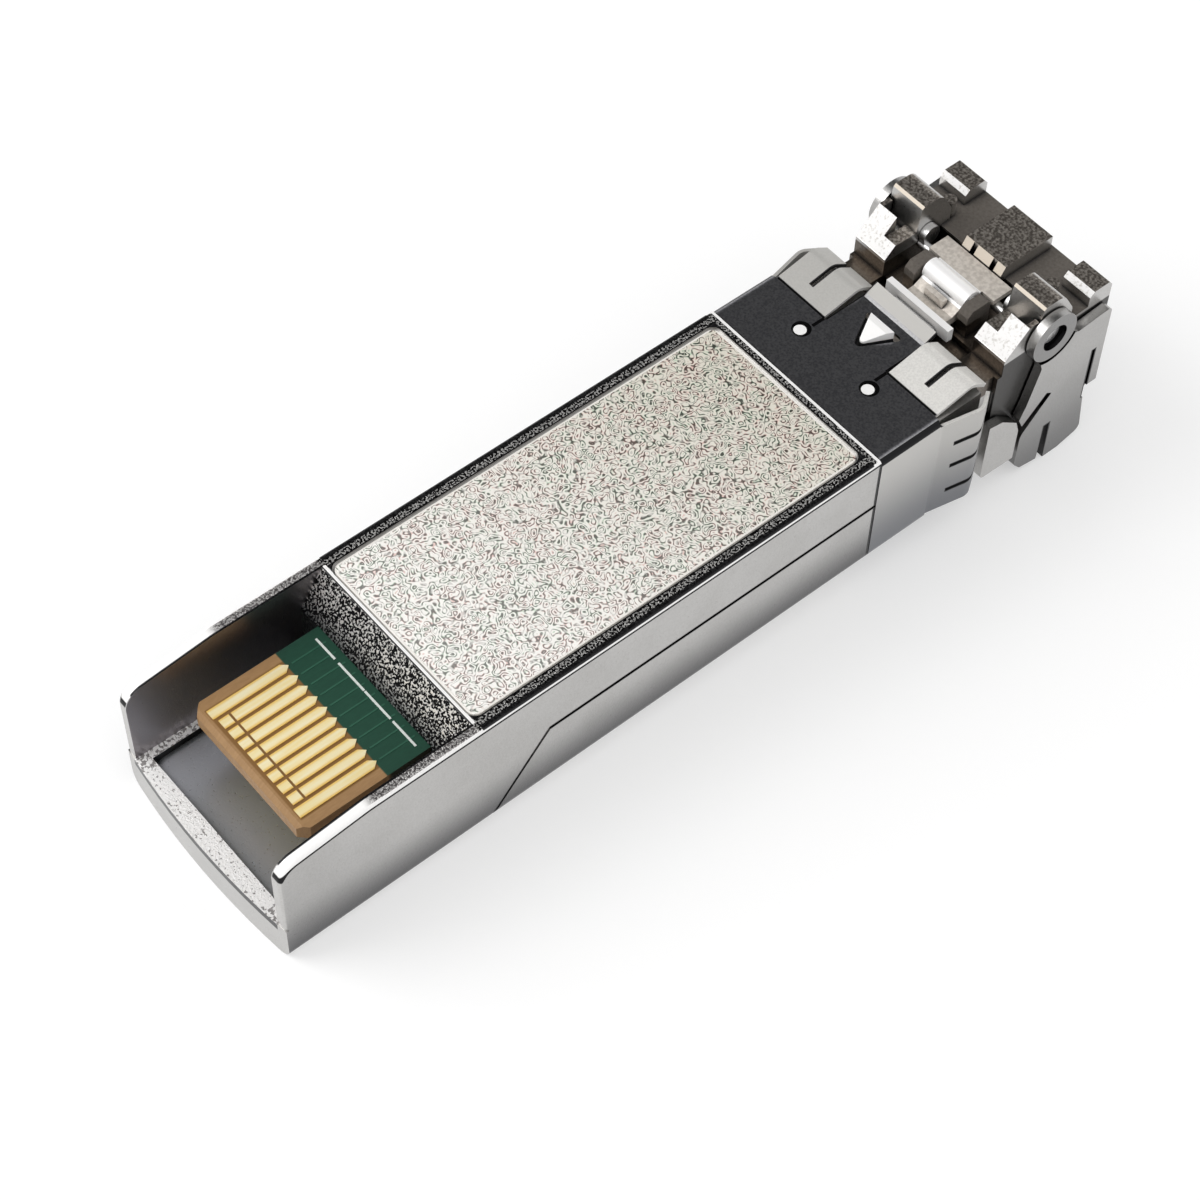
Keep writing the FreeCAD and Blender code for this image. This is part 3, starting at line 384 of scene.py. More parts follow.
def shell_finish():
    finish, colour, rough, grain = satin("shell_plating")
    x, y, z = finish.x, abs(finish.y), finish.z
    face_x, face_y, face_z = finish.facing()
    upward = finish.step(face_z, *UPWARD)
    steep = 1 - finish.step(abs(face_z), *LEANING)
    on_top = upward * finish.past(z, WALL_TOP_Z, 0.2)
    on_face = upward * finish.past(z, FACE_Z - 0.08, FINE)
    behind = 1 - finish.past(x, TROUGH_END + 0.05)
    inside = behind * (1 - finish.past(y, TROUGH_HALF + 0.05, 0.03))
    beyond_highlight = finish.step(x, *WALL_HIGHLIGHT_SPAN)

    # Painted shade on the walls inside the trough.
    inner_wall = inside * finish.step(abs(face_y), *SIDEWAYS)
    end_wall = inside * finish.step(-face_x, *LEANING) * finish.past(x, END_WALL_FOOT, 0.1)
    pocket = inside * upward * (1 - finish.past(z, SILL_Z - 0.35))
    # Painted shade on the pocket's walls.
    pocket_wall = inside * steep * finish.between(z, SILL_Z - 0.5, SILL_Z - 0.02, FINE)
    sill = inside * upward * finish.between(z, SILL_Z - 0.15, SILL_Z + 0.15)
    # Painted highlight on the rear part of the walls' tops.
    wall_top = on_top * (1 - beyond_highlight) * (1 - inside)
    # Painted shade at the inner edge of the walls' tops.
    brink = on_top * behind * (1 - finish.past(y, BRINK_Y, FINE))
    raised = finish.past(z, BEVEL_FOOT, 0.1) * (1 - inside)
    # Painted reflections on the rounded edges: a dark line low on the bevel, a highlight high on it.
    edge_low = raised * finish.between(face_z, *LOW_BEVEL, 0.03)
    edge_high = raised * finish.between(face_z, *HIGH_BEVEL, 0.03)

    lip = on_face * finish.between(x, TROUGH_END - 0.05, TROUGH_END + 0.22, FINE)
    lip = lip * (1 - finish.past(y, TROUGH_HALF + 0.025, 0.025))
    stud = on_face * finish.between(x, STUD_X - STUD_REACH, STUD_X + STUD_REACH)
    # A painted highlight line along the front edge.
    front_lip = on_face * finish.between(x, BODY_END - 0.16, BODY_END + 0.02, FINE)
    rim = on_face * beyond_highlight * (1 - finish.any_of(lip, stud, front_lip))
    # Painted shade: dark lines along the rim, beside the speckled band.
    rim_shade = rim * (1 - finish.between(y, *SPECKLE_Y, 0.03)) * finish.between(x, *RIM_SHADE_X)

    speck = finish.step(finish.noise(scale=8.0, detail=2.0, seed=5.0), 0.50, 0.57)
    # Painted glints in the cast speckle, painted darker deep in the trough as shade.
    glint = finish.mix(finish.step(z, *GLINT_SHADE_SPAN), SHADED_GLINT, PAINTED_GLINT)
    pit = finish.mix(behind * (1 - inside), CAST_PIT, RIM_PIT)
    # Near white where the shell is worn and where highlights are painted.
    worn_and_lit = finish.any_of(sill, wall_top, lip, front_lip, stud, edge_high)
    blot = finish.noise(scale=6.0, detail=2.0, seed=6.0) + 0.1 * finish.past(y, SILL_SIDE, 0.4)
    spots = sill * finish.step(blot, 0.60, 0.66)
    corners = pocket * finish.crevice_shade(0.6)
    # Painted shade: the lines along the rim, the edges, the walls' inner edge and the pocket's walls
    # and corners.
    shade_lines = finish.any_of(rim_shade, edge_low, brink, pocket_wall, corners)
    colour = finish.mix(parting(finish), shaded(finish, colour), GRIME_AND_SHADE)
    colour = finish.mix(inner_wall, colour, INNER_WALL_SHADE)
    colour = finish.mix(finish.any_of(end_wall, rim), colour, finish.mix(speck, pit, glint))
    colour = finish.mix(pocket, colour, POCKET_FLASH)
    colour = finish.mix(worn_and_lit, colour, WORN_AND_LIT_WHITE)
    colour = finish.mix(spots, colour, SILL_SPOT)
    colour = finish.mix(shade_lines, colour, GRIME_AND_SHADE)
    return finish.feed(
        Base_Color=colour, Roughness=rough + 0.3 * worn_and_lit + 0.1 * end_wall,
        Metallic=1 - 0.6 * worn_and_lit - 0.15 * pocket,
        relief=grain * 0.3 + speck * finish.any_of(end_wall, rim, sill), depth=0.05,
    )


dress(shell_finish(), "base_shell")

# %% [markdown]
# The nose's upper faces are the raw skin of the mould: dark with tiny painted glints on the blocks,
# brown-grey on the shelf below them. Down in the lever's cavity the faces are painted nearly black as
# shade. Its ramps are rubbed bright by the cage and painted lighter as a highlight. The sides behind
# the bail's arms are painted nearly black as shade, and the crevices are painted dark as shade.

# %% Nose
LEVEL_FACE = (0.85, 0.95)
RAMP_FACE = (0.45, 0.88)
RAMP_FOOT = 8.45
BLOCK_HALF = 1.55
HUMP_BEVEL = 10.45
SHELF_Z = 8.35
SHELF_START = 50.1
SIDE_Y = 5.8
PIT_Z = (6.0, 8.2)
PIT_END = 54.25
NOSE_SIDE_SHADE_TOP = 8.15
LUG_Y = (1.6, 2.5)
LUG_FOOT = 8.0
LUG_END = 50.8
NOSE_SIDE_SHADE = rgb(0.06, 0.058, 0.056)
BEIGE = rgb(0.66, 0.59, 0.50)


def nose_finish():
    finish, colour, rough, grain = satin("nose_plating")
    x, y, z = finish.x, abs(finish.y), finish.z
    face_x, _, face_z = finish.facing()
    level = finish.step(face_z, *LEVEL_FACE)
    ramps = finish.between(face_z, *RAMP_FACE) * finish.step(-face_x, *LEANING)
    ramps = ramps * finish.past(z, RAMP_FOOT)
    blocks = level * finish.past(z, SHELF_Z + 0.5)
    shelf = level * finish.between(z, SHELF_Z - 0.15, SHELF_Z + 0.15) * finish.past(x, SHELF_START, 0.1)
    pits = (1 - finish.past(y, SIDE_Y - 0.04, 0.04)) * finish.between(z, *PIT_Z)
    pits = pits * (1 - finish.past(x, PIT_END, 0.25))
    # Painted shade on the nose's sides behind the bail's arms.
    nose_side_shade = finish.between(y, SIDE_Y - 0.15, SIDE_Y + 0.07, FINE)
    nose_side_shade = nose_side_shade * (1 - finish.past(z, NOSE_SIDE_SHADE_TOP))
    lugs = finish.between(y, *LUG_Y) * finish.past(z, LUG_FOOT, 0.1) * (1 - finish.past(x, LUG_END))
    block_bevel = ramps * (1 - finish.past(y, BLOCK_HALF))
    hump_bevel = ramps * finish.past(z, HUMP_BEVEL)

    skin = finish.noise(scale=6.0, detail=3.0, seed=8.0)
    # The raw skin of the blocks: dark, with painted glints.
    raw = finish.mix(finish.step(skin, 0.38, 0.66), rgb(0.13, 0.115, 0.10), rgb(0.42, 0.385, 0.345))
    # The ramps are worn and painted lighter as a highlight.
    ramp_wear_and_highlight = finish.mix(finish.step(skin, 0.3, 0.5), rgb(0.56, 0.54, 0.51), rgb(0.80, 0.79, 0.78))
    brown = finish.mix(skin, rgb(0.078, 0.067, 0.058), rgb(0.19, 0.17, 0.148))
    # Painted shade down in the lever's cavity: nearly black with a mottle.
    scale = finish.mix(skin, rgb(0.05, 0.042, 0.036), rgb(0.26, 0.225, 0.19))
    colour = finish.mix(nose_side_shade, colour, NOSE_SIDE_SHADE)
    colour = finish.mix(pits, colour, scale)
    colour = finish.mix(shelf, colour, brown)
    colour = finish.mix(blocks, colour, raw)
    colour = finish.mix(ramps, colour, ramp_wear_and_highlight)
    colour = finish.mix(finish.any_of(block_bevel, hump_bevel), colour, BEIGE)
    colour = finish.mix(lugs, colour, brown)
    # Painted shade in the nose's crevices.
    colour = finish.mix(finish.crevice_shade(0.5), colour, GRIME_AND_SHADE)
    matt = finish.any_of(shelf, lugs)
    return finish.feed(
        Base_Color=colour, Roughness=rough + 0.1 * blocks + 0.25 * matt + 0.3 * ramps,
        Metallic=1 - 0.6 * finish.any_of(matt, ramps), relief=grain * 0.15 + skin * blocks, depth=0.05,
    )


dress(nose_finish(), "nose_housing")

# %% [markdown]
# The bail is plated a little darker, its arms are painted darker towards the bottom as shade, and the
# eye's disc is painted darker. The socket in each eye and the groove round it are painted dark as
# shade, found by their distance from the pivot's axis, and so are the crevices. The three slots of
# each arm are painted dark as shade too: each has a straight middle line, and what lies near that
# line is painted.

# %% Bail
PIVOT_X = 51.6
PIVOT_Z = 8.7
SOCKET_EDGE = 0.86
EYE_EDGE = 1.585
EYE_GROOVE = (1.64, 1.87)
ARM_SHADE_SPAN = (-4.0, 7.0)
ARM_SLOTS = (
    ((50.75, 2.10), (52.15, 3.62), 0.28),
    ((52.66, -2.6), (52.66, 0.65), 0.30),
    ((55.41, 1.0), (55.41, 5.0), 0.20),
)


def slot_mask(finish, start, end, half):
    """1 near the straight line from start to end, which are given as x and z."""
    way = Vector(end) - Vector(start)
    length = way.length
    way.normalize()
    dx = finish.x - start[0]
    dz = finish.z - start[1]
    along = dx * way.x + dz * way.y
    beside = abs(dx * way.y - dz * way.x)
    return finish.between(along, -0.05, length + 0.05) * (1 - finish.past(beside, half, 0.04))


def bail_finish():
    finish, colour, rough, grain = satin("bail_plating", level=0.46)
    reach = finish.distance(finish.x - PIVOT_X, finish.z - PIVOT_Z)
    socket = 1 - finish.past(reach, SOCKET_EDGE, FINE)
    groove = finish.between(reach, *EYE_GROOVE, FINE)
    ring = 1 - finish.past(reach, EYE_EDGE, 0.035)
    # Painted shade: the arms darker towards the bottom.
    low = 1 - finish.step(finish.z, *ARM_SHADE_SPAN)
    slots = [slot_mask(finish, *slot) for slot in ARM_SLOTS]
    colour = finish.mix(0.8 * low + 0.5 * ring, colour, rgb(0.09, 0.09, 0.095))
    # Painted shade in the sockets, the grooves, the slots and the crevices.
    colour = finish.mix(finish.any_of(socket, groove, finish.crevice_shade(0.5), *slots), colour, GRIME_AND_SHADE)
    return finish.feed(Base_Color=colour, Roughness=rough, relief=grain, depth=0.01)


dress(bail_finish(), "bail")

# %% [markdown]
# Spring sheet
#
# The collar is thin rolled sheet, smooth and charcoal on its face, with its bent tabs brushed dull. A
# slit in sheet is mostly a dark line, so the slits' rims, the folds, the tabs' edges and relief slits
# and the shadow round the two studs are painted dark as shade by the ruler, where the light alone
# would leave them grey. The sides are painted darker towards the bottom, and the far tab darker than
# the near one, as shade.

# %% Collar
SHEET_FACE = (0.8, 0.97)
FOLD_FACE = (0.12, 0.9)
FOLD_Z = 7.6
WALL_Y = 6.15
WALL_SHADE_SPAN = (0.5, 8.0)
TAB_X = 43.15
TAB_SHADE_SPAN = (-3.5, 3.5)
PANEL_HALF = 2.38
LIP_X = 46.0
SLIT_START = 44.0
SLIT_HALF = 0.175
TAB_SLIT_Y = 4.5
SIDE_SLITS = (2.1, 4.2, 6.1)
STUD_Y = 2.65
STUD_SHADE = 0.55
SHADE_OFFSET = 0.1


def slits(finish, off_line):
    """1 where a value is within half a slit's width from 0."""
    return 1 - finish.past(abs(off_line), SLIT_HALF, 0.025)


def collar_finish():
    finish = Finish("collar_sheet")
    x, y, z = finish.x, abs(finish.y), finish.z
    face_z = finish.facing()[2]
    outside = finish.past(y, PANEL_HALF, FINE)
    tabs = finish.past(x, TAB_X) * outside
    lip = finish.past(x, LIP_X) * (1 - outside)
    bent = finish.any_of(tabs, lip)
    flat = finish.step(face_z, *SHEET_FACE) * (1 - bent)
    upper = finish.past(z, FOLD_Z, 0.1)

    fold = finish.between(face_z, *FOLD_FACE) * (1 - bent)
    # Painted shade along the tabs' edges and in their relief slits.
    behind_tab = finish.between(x, TAB_X - 0.14, TAB_X - 0.02, FINE)
    behind_tab = behind_tab * outside * (1 - finish.past(y, WALL_Y))
    beside_tab = finish.between(y, PANEL_HALF - 0.1, PANEL_HALF + 0.03, FINE)
    beside_tab = beside_tab * finish.past(x, TAB_X - 0.05)
    relief_slit = finish.between(x, TAB_X - 0.95, TAB_X, 0.03)
    relief_slit = relief_slit * finish.between(y, PANEL_HALF - 0.04, PANEL_HALF + 0.16, 0.03)
    # Painted shade along the slits.
    tab_slit = slits(finish, y - TAB_SLIT_Y) * finish.past(x, SLIT_START - 0.05)
    side_slit = finish.any_of(*[slits(finish, z - level) for level in SIDE_SLITS])
    side_slit = side_slit * finish.past(x, SLIT_START + 0.05) * finish.past(y, WALL_Y - 0.05, 0.1)
    ring = 1 - finish.past(finish.distance(x - STUD_X - SHADE_OFFSET, y - STUD_Y), STUD_SHADE, 0.07)
    dark = upper * finish.any_of(behind_tab, beside_tab, relief_slit, tab_slit, upper * fold, ring)

    mottle = finish.step(finish.noise(scale=9.0, detail=3.0, seed=12.0), 0.35, 0.65)
    charcoal = finish.mix(mottle, rgb(0.20, 0.20, 0.215), rgb(0.32, 0.32, 0.337))
    # Painted shade: the sides darker towards the bottom.
    shaded_wall = finish.mix(finish.step(z, *WALL_SHADE_SPAN), rgb(0.19, 0.195, 0.21), rgb(0.56, 0.55, 0.53))
    # Painted shade: the far tab darker than the near one.
    far_tab_shade = finish.step(finish.y, *TAB_SHADE_SPAN)
    brushed = finish.mix(far_tab_shade, rgb(0.82, 0.805, 0.77), rgb(0.54, 0.53, 0.505))
    brushed = finish.mix(0.2 * mottle, brushed, rgb(0.36, 0.35, 0.33))
    colour = finish.mix(flat, shaded_wall, charcoal)
    colour = finish.mix(tabs * finish.step(face_z, *LEANING), colour, brushed)
    colour = finish.mix(lip, colour, rgb(0.45, 0.44, 0.42))
    colour = finish.mix(finish.any_of(dark, side_slit), colour, GRIME_AND_SHADE)
    speck = finish.noise(scale=5.0, detail=2.0, seed=11.0)
    return finish.feed(
        Base_Color=colour, Roughness=0.28 + 0.24 * bent, Metallic=1 - 0.5 * tabs,
        relief=speck * flat, depth=0.01,
    )


dress(collar_finish(), "emi_collar", "latch_spring")

# %% [markdown]
# Lever and turned steel
#
# The lever is a matt pressing whose wedge, rib and hub are worn white and painted white as highlights.
# The wedge's lower part, round which the collar's window runs, is painted dark as shade, and so are the
# lever's crevices. Pins, barrels and the clamp are bright steel. The fine rings of a lathe are a noise
# that changes quickly along the module and slowly across it.

# %% Lever and turned parts
WEDGE_END = 45.25
RIB_SPAN = (47.4, 48.2)
HUB_SPAN = (49.35, 50.78)
LATHE_STRETCH = (1.0, 0.12, 0.12)


def lever_finish():
    finish = Finish("lever_matt")
    skin = finish.noise(scale=4.0, detail=3.0, seed=13.0)
    wedge = 1 - finish.past(finish.x, WEDGE_END, 0.15)
    rib = finish.between(finish.x, *RIB_SPAN)
    hub = finish.between(finish.x, *HUB_SPAN)
    # Worn places and painted highlights: the wedge, the rib and the hub.
    worn_and_lit = finish.any_of(wedge, rib, hub)
    wedge_shade = wedge * (1 - finish.past(finish.z, FACE_Z - 0.05))
    colour = finish.mix(finish.step(skin, 0.35, 0.65), rgb(0.52, 0.475, 0.425), rgb(0.68, 0.63, 0.57))
    colour = finish.mix(worn_and_lit, colour, WORN_AND_LIT_WHITE)
    # Painted shade on the wedge's lower part and in the crevices.
    colour = finish.mix(finish.any_of(wedge_shade, finish.crevice_shade(0.4)), colour, GRIME_AND_SHADE)
    return finish.feed(
        Base_Color=colour, Roughness=0.55 - 0.12 * worn_and_lit, Metallic=0.4 - 0.15 * worn_and_lit,
        relief=skin, depth=0.01,
    )


def turned_finish(name, level):
    finish = Finish(name, Metallic=1.0)
    rings = finish.noise(scale=14.0, detail=2.0, seed=17.0, stretch=LATHE_STRETCH)
    colour = finish.mix(rings, rgb(level * 0.75, level * 0.74, level * 0.73), rgb(level, level, level))
    return finish.feed(Base_Color=colour, Roughness=0.2 + 0.2 * rings, relief=rings, depth=0.005)


dress(lever_finish(), "latch_lever")
dress(turned_finish("turned_steel", 0.7), "bail_pivots", "lever_pivot_pin", "optics_clamp")
dress(turned_finish("can_steel", 0.78), "transmitter_can", "receiver_can")
dress(turned_finish("receptacle_steel", 0.74), "transmitter_receptacle", "receiver_receptacle")

# %% [markdown]
# The circuit board
#
# Bare glass fibre shows tan at the board's edges and dark brown between the gold fingers; the rest is
# green solder mask. Its boundary lies at the finger tips, so it is cut by the ruler's x and by
# whether a face looks up or down. The board's edges under the mask are painted nearly black as shade.
# The gold is painted darker and redder at a finger's sides as shade, which makes the thin pads look
# slightly rounded.

# %% Board and gold
BOARD_FACE = (0.8, 0.95)
FINGER_SPAN = (3.6, 8.35)
FINGER_PITCH = 0.8
BED_HALF = 4.0
MASK_START = 8.3
WEAVE_STRETCH = (1.0, 4.0, 1.0)
WEAR_STRETCH = (0.25, 3.0, 1.0)


def board_finish():
    finish = Finish("board_mask", Coat_Weight=0.1)
    x, y = finish.x, abs(finish.y)
    weave = finish.noise(scale=2.4, detail=2.0, seed=21.0, stretch=WEAVE_STRETCH)
    flat = finish.step(abs(finish.facing()[2]), *BOARD_FACE)
    masked = finish.past(x, MASK_START) * flat
    bed = flat * finish.between(x, *FINGER_SPAN) * (1 - finish.past(y, BED_HALF))
    # Painted shade: the board's edges under the mask nearly black.
    edge_shade = finish.step(x, MASK_START - 0.05, MASK_START + 0.3)
    tan = finish.mix(weave, rgb(0.27, 0.145, 0.055), rgb(0.40, 0.235, 0.10))
    tan = finish.mix(bed, tan, rgb(0.20, 0.095, 0.02))
    tan = finish.mix(edge_shade, tan, rgb(0.03, 0.03, 0.015))
    green = finish.mix(weave, rgb(0.005, 0.042, 0.024), rgb(0.010, 0.066, 0.038))
    colour = finish.mix(masked, tan, green)
    return finish.feed(Base_Color=colour, Roughness=0.62 - 0.2 * masked, relief=weave, depth=0.01)


def gold_finish():
    finish = Finish("contact_gold", Metallic=0.35)
    wear = finish.noise(scale=1.6, detail=3.0, seed=23.0, stretch=WEAR_STRETCH)
    lane = finish.add("ShaderNodeMath", {"operation": "FRACT"}, _0=finish.y / FINGER_PITCH)
    # Painted shade: darker, redder sides make each finger look rounded.
    finger_side_shade = finish.step(abs(lane - 0.5), 0.14, 0.36)
    colour = finish.mix(finish.step(wear, 0.3, 0.7), rgb(1.0, 0.83, 0.42), rgb(1.0, 0.90, 0.60))
    colour = finish.mix(finger_side_shade, colour, rgb(0.93, 0.62, 0.16))
    return finish.feed(Base_Color=colour, Roughness=0.38 + 0.15 * wear, relief=wear, depth=0.005)


dress(board_finish(), "circuit_board")
dress(gold_finish(), "upper_contacts", "lower_contacts")

# %% [markdown]
# The parts inside are seen only through the ports or when the model is taken apart. One plain recipe
# is enough for them: two colours and a cloud, which also varies the roughness.

# %% Inside parts
def plain_finish(name, dark, light, scale, roughness):
    finish = Finish(name)
    cloud = finish.noise(scale=scale, detail=3.0, seed=31.0)
    colour = finish.mix(cloud, dark, light)
    return finish.feed(Base_Color=colour, Roughness=roughness + 0.15 * cloud, relief=cloud, depth=0.01)


amber_film = plain_finish("amber_film", rgb(0.36, 0.17, 0.03), rgb(0.55, 0.30, 0.07), 1.5, 0.3)
resin_dark = rgb(0.012, 0.012, 0.013)
black_package = plain_finish("black_package", resin_dark, rgb(0.03, 0.03, 0.032), 6.0, 0.55)
tan_ceramic = plain_finish("tan_ceramic", rgb(0.38, 0.27, 0.18), rgb(0.56, 0.43, 0.31), 4.0, 0.5)
grey_pad = plain_finish("grey_pad", rgb(0.30, 0.31, 0.32), rgb(0.42, 0.43, 0.44), 3.0, 0.75)
dress(amber_film, "transmitter_flex", "receiver_flex")
dress(black_package, "driver_chip", "amplifier_chip", "controller_chip", "memory_chip")
dress(tan_ceramic, "capacitors")
dress(grey_pad, "thermal_pad")

# %% [markdown]
# Traces and printed marks
#
# A fine trace runs on from every finger, and a broken white line is printed across the board before
# it goes under the shell. Both are rows of the same small bar, so one Geometry Nodes tree makes
# them: a line of points, a bar on each point with a length of its own, and a fixed seed.

# %% A row of small bars
BAR_INPUTS = {
    "Count": "NodeSocketInt", "First": "NodeSocketVector", "Pitch": "NodeSocketVector",
    "Bar": "NodeSocketVector", "Shortest": "NodeSocketVector", "Seed": "NodeSocketInt",
    "Finish": "NodeSocketMaterial",
}


def bar_row_tree():
    tree = bpy.data.node_groups.new("bar_row", "GeometryNodeTree")
    tree.interface.new_socket("Geometry", in_out="OUTPUT", socket_type="NodeSocketGeometry")
    sockets = {}
    for name, kind in BAR_INPUTS.items():
        sockets[name] = tree.interface.new_socket(name, in_out="INPUT", socket_type=kind).identifier
    graph = Graph(tree)
    given = tree.nodes.new("NodeGroupInput")
    value = {name: Tone(graph, given.outputs[name]) for name in sockets}
    line = graph.add(
        "GeometryNodeMeshLine", {"mode": "OFFSET"},
        Count=value["Count"], Start_Location=value["First"], Offset=value["Pitch"],
    )
    bar = graph.add("GeometryNodeMeshCube", Size=value["Bar"])
    scale = graph.add(
        "FunctionNodeRandomValue", {"data_type": "FLOAT_VECTOR"},
        _0=value["Shortest"], _1=(1.0, 1.0, 1.0), Seed=value["Seed"],
    )
    bars = graph.add("GeometryNodeInstanceOnPoints", Points=line, Instance=bar, Scale=scale)
    real = graph.add("GeometryNodeRealizeInstances", Geometry=bars)
    done = graph.add("GeometryNodeSetMaterial", Geometry=real, Material=value["Finish"])
    out = tree.nodes.new("NodeGroupOutput")
    tree.links.new(done.socket, out.inputs["Geometry"])
    return tree, sockets


BAR_TREE, BAR_SOCKETS = bar_row_tree()
print("a bar row takes", ", ".join(BAR_SOCKETS))

# %% [markdown]
# The tree grows a row on an empty object. The row is then turned into a plain mesh, which the export
# keeps, and the empty object is removed. The traces lie under the mask as slightly lighter lines at
# the fingers' pitch. The printed line stands a hair above it and is broken into dashes of different
# lengths.

# %% Traces and the printed line
BOARD_TOP = 6.25
TRACE_COUNT = 10
TRACE_SPAN = (8.55, 10.75)
TRACE_WIDTH = 0.09
TRACE_HEIGHT = 0.02
MARK_COUNT = 4
MARK_X = 10.4
MARK_START_Y = -3.2
MARK_PITCH = 2.15
MARK_LENGTH = 2.2
MARK_WIDTH = 0.12
MARK_HEIGHT = 0.03


def link_new(name, mesh):
    piece = bpy.data.objects.new(name, mesh)
    scene.collection.objects.link(piece)
    return piece


def bar_row(name, **inputs):
    """Grow a row from the tree and turn it into a plain mesh."""
    seedling = link_new(name + "_seedling", bpy.data.meshes.new(name + "_seedling"))
    grower = seedling.modifiers.new("grow", "NODES")
    grower.node_group = BAR_TREE
    for key, value in inputs.items():
        grower[BAR_SOCKETS[key]] = value
    bpy.context.view_layer.update()
    grown = seedling.evaluated_get(bpy.context.evaluated_depsgraph_get())
    piece = link_new(name, bpy.data.meshes.new_from_object(grown))
    bpy.data.objects.remove(seedling)
    piece.data.name = name
    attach(piece, "housing")
    print(name, "with", len(piece.data.polygons), "faces")


trace_dark = rgb(0.012, 0.080, 0.045)
trace_green = plain_finish("trace_green", trace_dark, rgb(0.020, 0.105, 0.062), 3.0, 0.45)
mark_white = plain_finish("mark_white", rgb(0.55, 0.60, 0.56), rgb(0.80, 0.83, 0.80), 5.0, 0.6)
trace_length = TRACE_SPAN[1] - TRACE_SPAN[0]
first_lane = -FINGER_PITCH * (TRACE_COUNT - 1) / 2
bar_row(
    "board_traces", Count=TRACE_COUNT, Seed=3, Finish=trace_green, Shortest=(0.95, 1.0, 1.0),
    First=at(sum(TRACE_SPAN) / 2, first_lane, BOARD_TOP + TRACE_HEIGHT / 2),
    Pitch=(0, FINGER_PITCH * MM, 0), Bar=(trace_length * MM, TRACE_WIDTH * MM, TRACE_HEIGHT * MM),
)
bar_row(
    "printed_line", Count=MARK_COUNT, Seed=11, Finish=mark_white, Shortest=(1.0, 0.35, 1.0),
    First=at(MARK_X, MARK_START_Y, BOARD_TOP + MARK_HEIGHT / 2),
    Pitch=(0, MARK_PITCH * MM, 0), Bar=(MARK_WIDTH * MM, MARK_LENGTH * MM, MARK_HEIGHT * MM),
)

# %% [markdown]
# The label field
#
# A pale foil lies in the recess of the upper face: a thin plate with rounded corners and a fine
# worm-like speckle. Contour lines of a noise field give such worms: wherever the noise crosses a
# level, a thin line is drawn, and a second noise breaks the lines into short pieces. A third noise
# tints them, some towards red and some towards green.

# %% Foil
LABEL_X = (12.72, 38.08)
LABEL_HALF = 5.73
BARE_ENDS = 0.13
BARE_SIDES = 0.11
WORM_WAVES = 36.0
WORM_LINE = (0.15, 0.55)
WORM_FRINGE = (-0.35, 0.3)
LABEL_SHADE_SPAN = (12.0, 42.0)


def label_finish():
    finish = Finish("label_foil", Metallic=0.3)
    field = finish.noise(scale=2.7, detail=0.0, seed=41.0)
    waves = finish.add("ShaderNodeMath", {"operation": "SINE"}, _0=WORM_WAVES * field)
    breaks = finish.step(finish.noise(scale=4.0, detail=1.0, seed=59.0), 0.36, 0.56)
    tint = finish.step(finish.noise(scale=2.2, detail=1.0, seed=53.0), 0.42, 0.58)
    worms = finish.step(waves, *WORM_LINE) * (0.3 + 0.7 * breaks)
    fringe = finish.between(waves, *WORM_FRINGE, 0.2) * breaks
    # Painted shade: the foil darker towards the front, and its worms stronger there.
    along = finish.step(finish.x + 0.5 * finish.y, *LABEL_SHADE_SPAN)
    base = finish.mix(along, rgb(1.0, 0.98, 0.94), rgb(0.74, 0.70, 0.61))
    stain = finish.mix(tint, rgb(0.76, 0.44, 0.40), rgb(0.44, 0.62, 0.45))
    ink = finish.mix(tint, rgb(0.078, 0.047, 0.038), rgb(0.038, 0.048, 0.034))
    colour = finish.mix(0.7 * fringe, base, stain)
    colour = finish.mix(worms * (0.8 + 0.2 * along), colour, ink)
    half_length = (LABEL_X[1] - LABEL_X[0]) / 2
    ends = finish.past(abs(finish.x - sum(LABEL_X) / 2), half_length - BARE_ENDS)
    sides = finish.past(abs(finish.y), LABEL_HALF - BARE_SIDES)
    colour = finish.mix(finish.any_of(ends, sides), colour, rgb(0.90, 0.87, 0.82))
    return finish.feed(Base_Color=colour, Roughness=0.5 + 0.15 * field, relief=waves, depth=0.01)


foil = label_finish()
print("foil is", foil.name)

# %% [markdown]
# The plate itself is an outline of four arcs, raised to its thickness, with a fine bevel round its
# upper edge so that the edge draws a light line as the real foil's does.

# %% The label plate
LABEL_CORNER = 0.5
LABEL_FOOT = 8.32
LABEL_TOP = 8.44
LABEL_BEVEL = 0.04
CORNER_STEPS = 8


def rounded_outline(x, half, corner):
    """Points round a rectangle with rounded corners."""
    points = []
    for cx, cy, start in (
        (x[1] - corner, half - corner, 0), (x[0] + corner, half - corner, 90),
        (x[0] + corner, -half + corner, 180), (x[1] - corner, -half + corner, 270),
    ):
        for k in range(CORNER_STEPS + 1):
            angle = math.radians(start + 90 * k / CORNER_STEPS)
            points.append((cx + corner * math.cos(angle), cy + corner * math.sin(angle)))
    return points


def made_piece(name, mesh, material):
    """Turn a working mesh into a piece of the scene."""
    data = bpy.data.meshes.new(name)
    mesh.to_mesh(data)
    mesh.free()
    data.materials.append(material)
    return link_new(name, data)


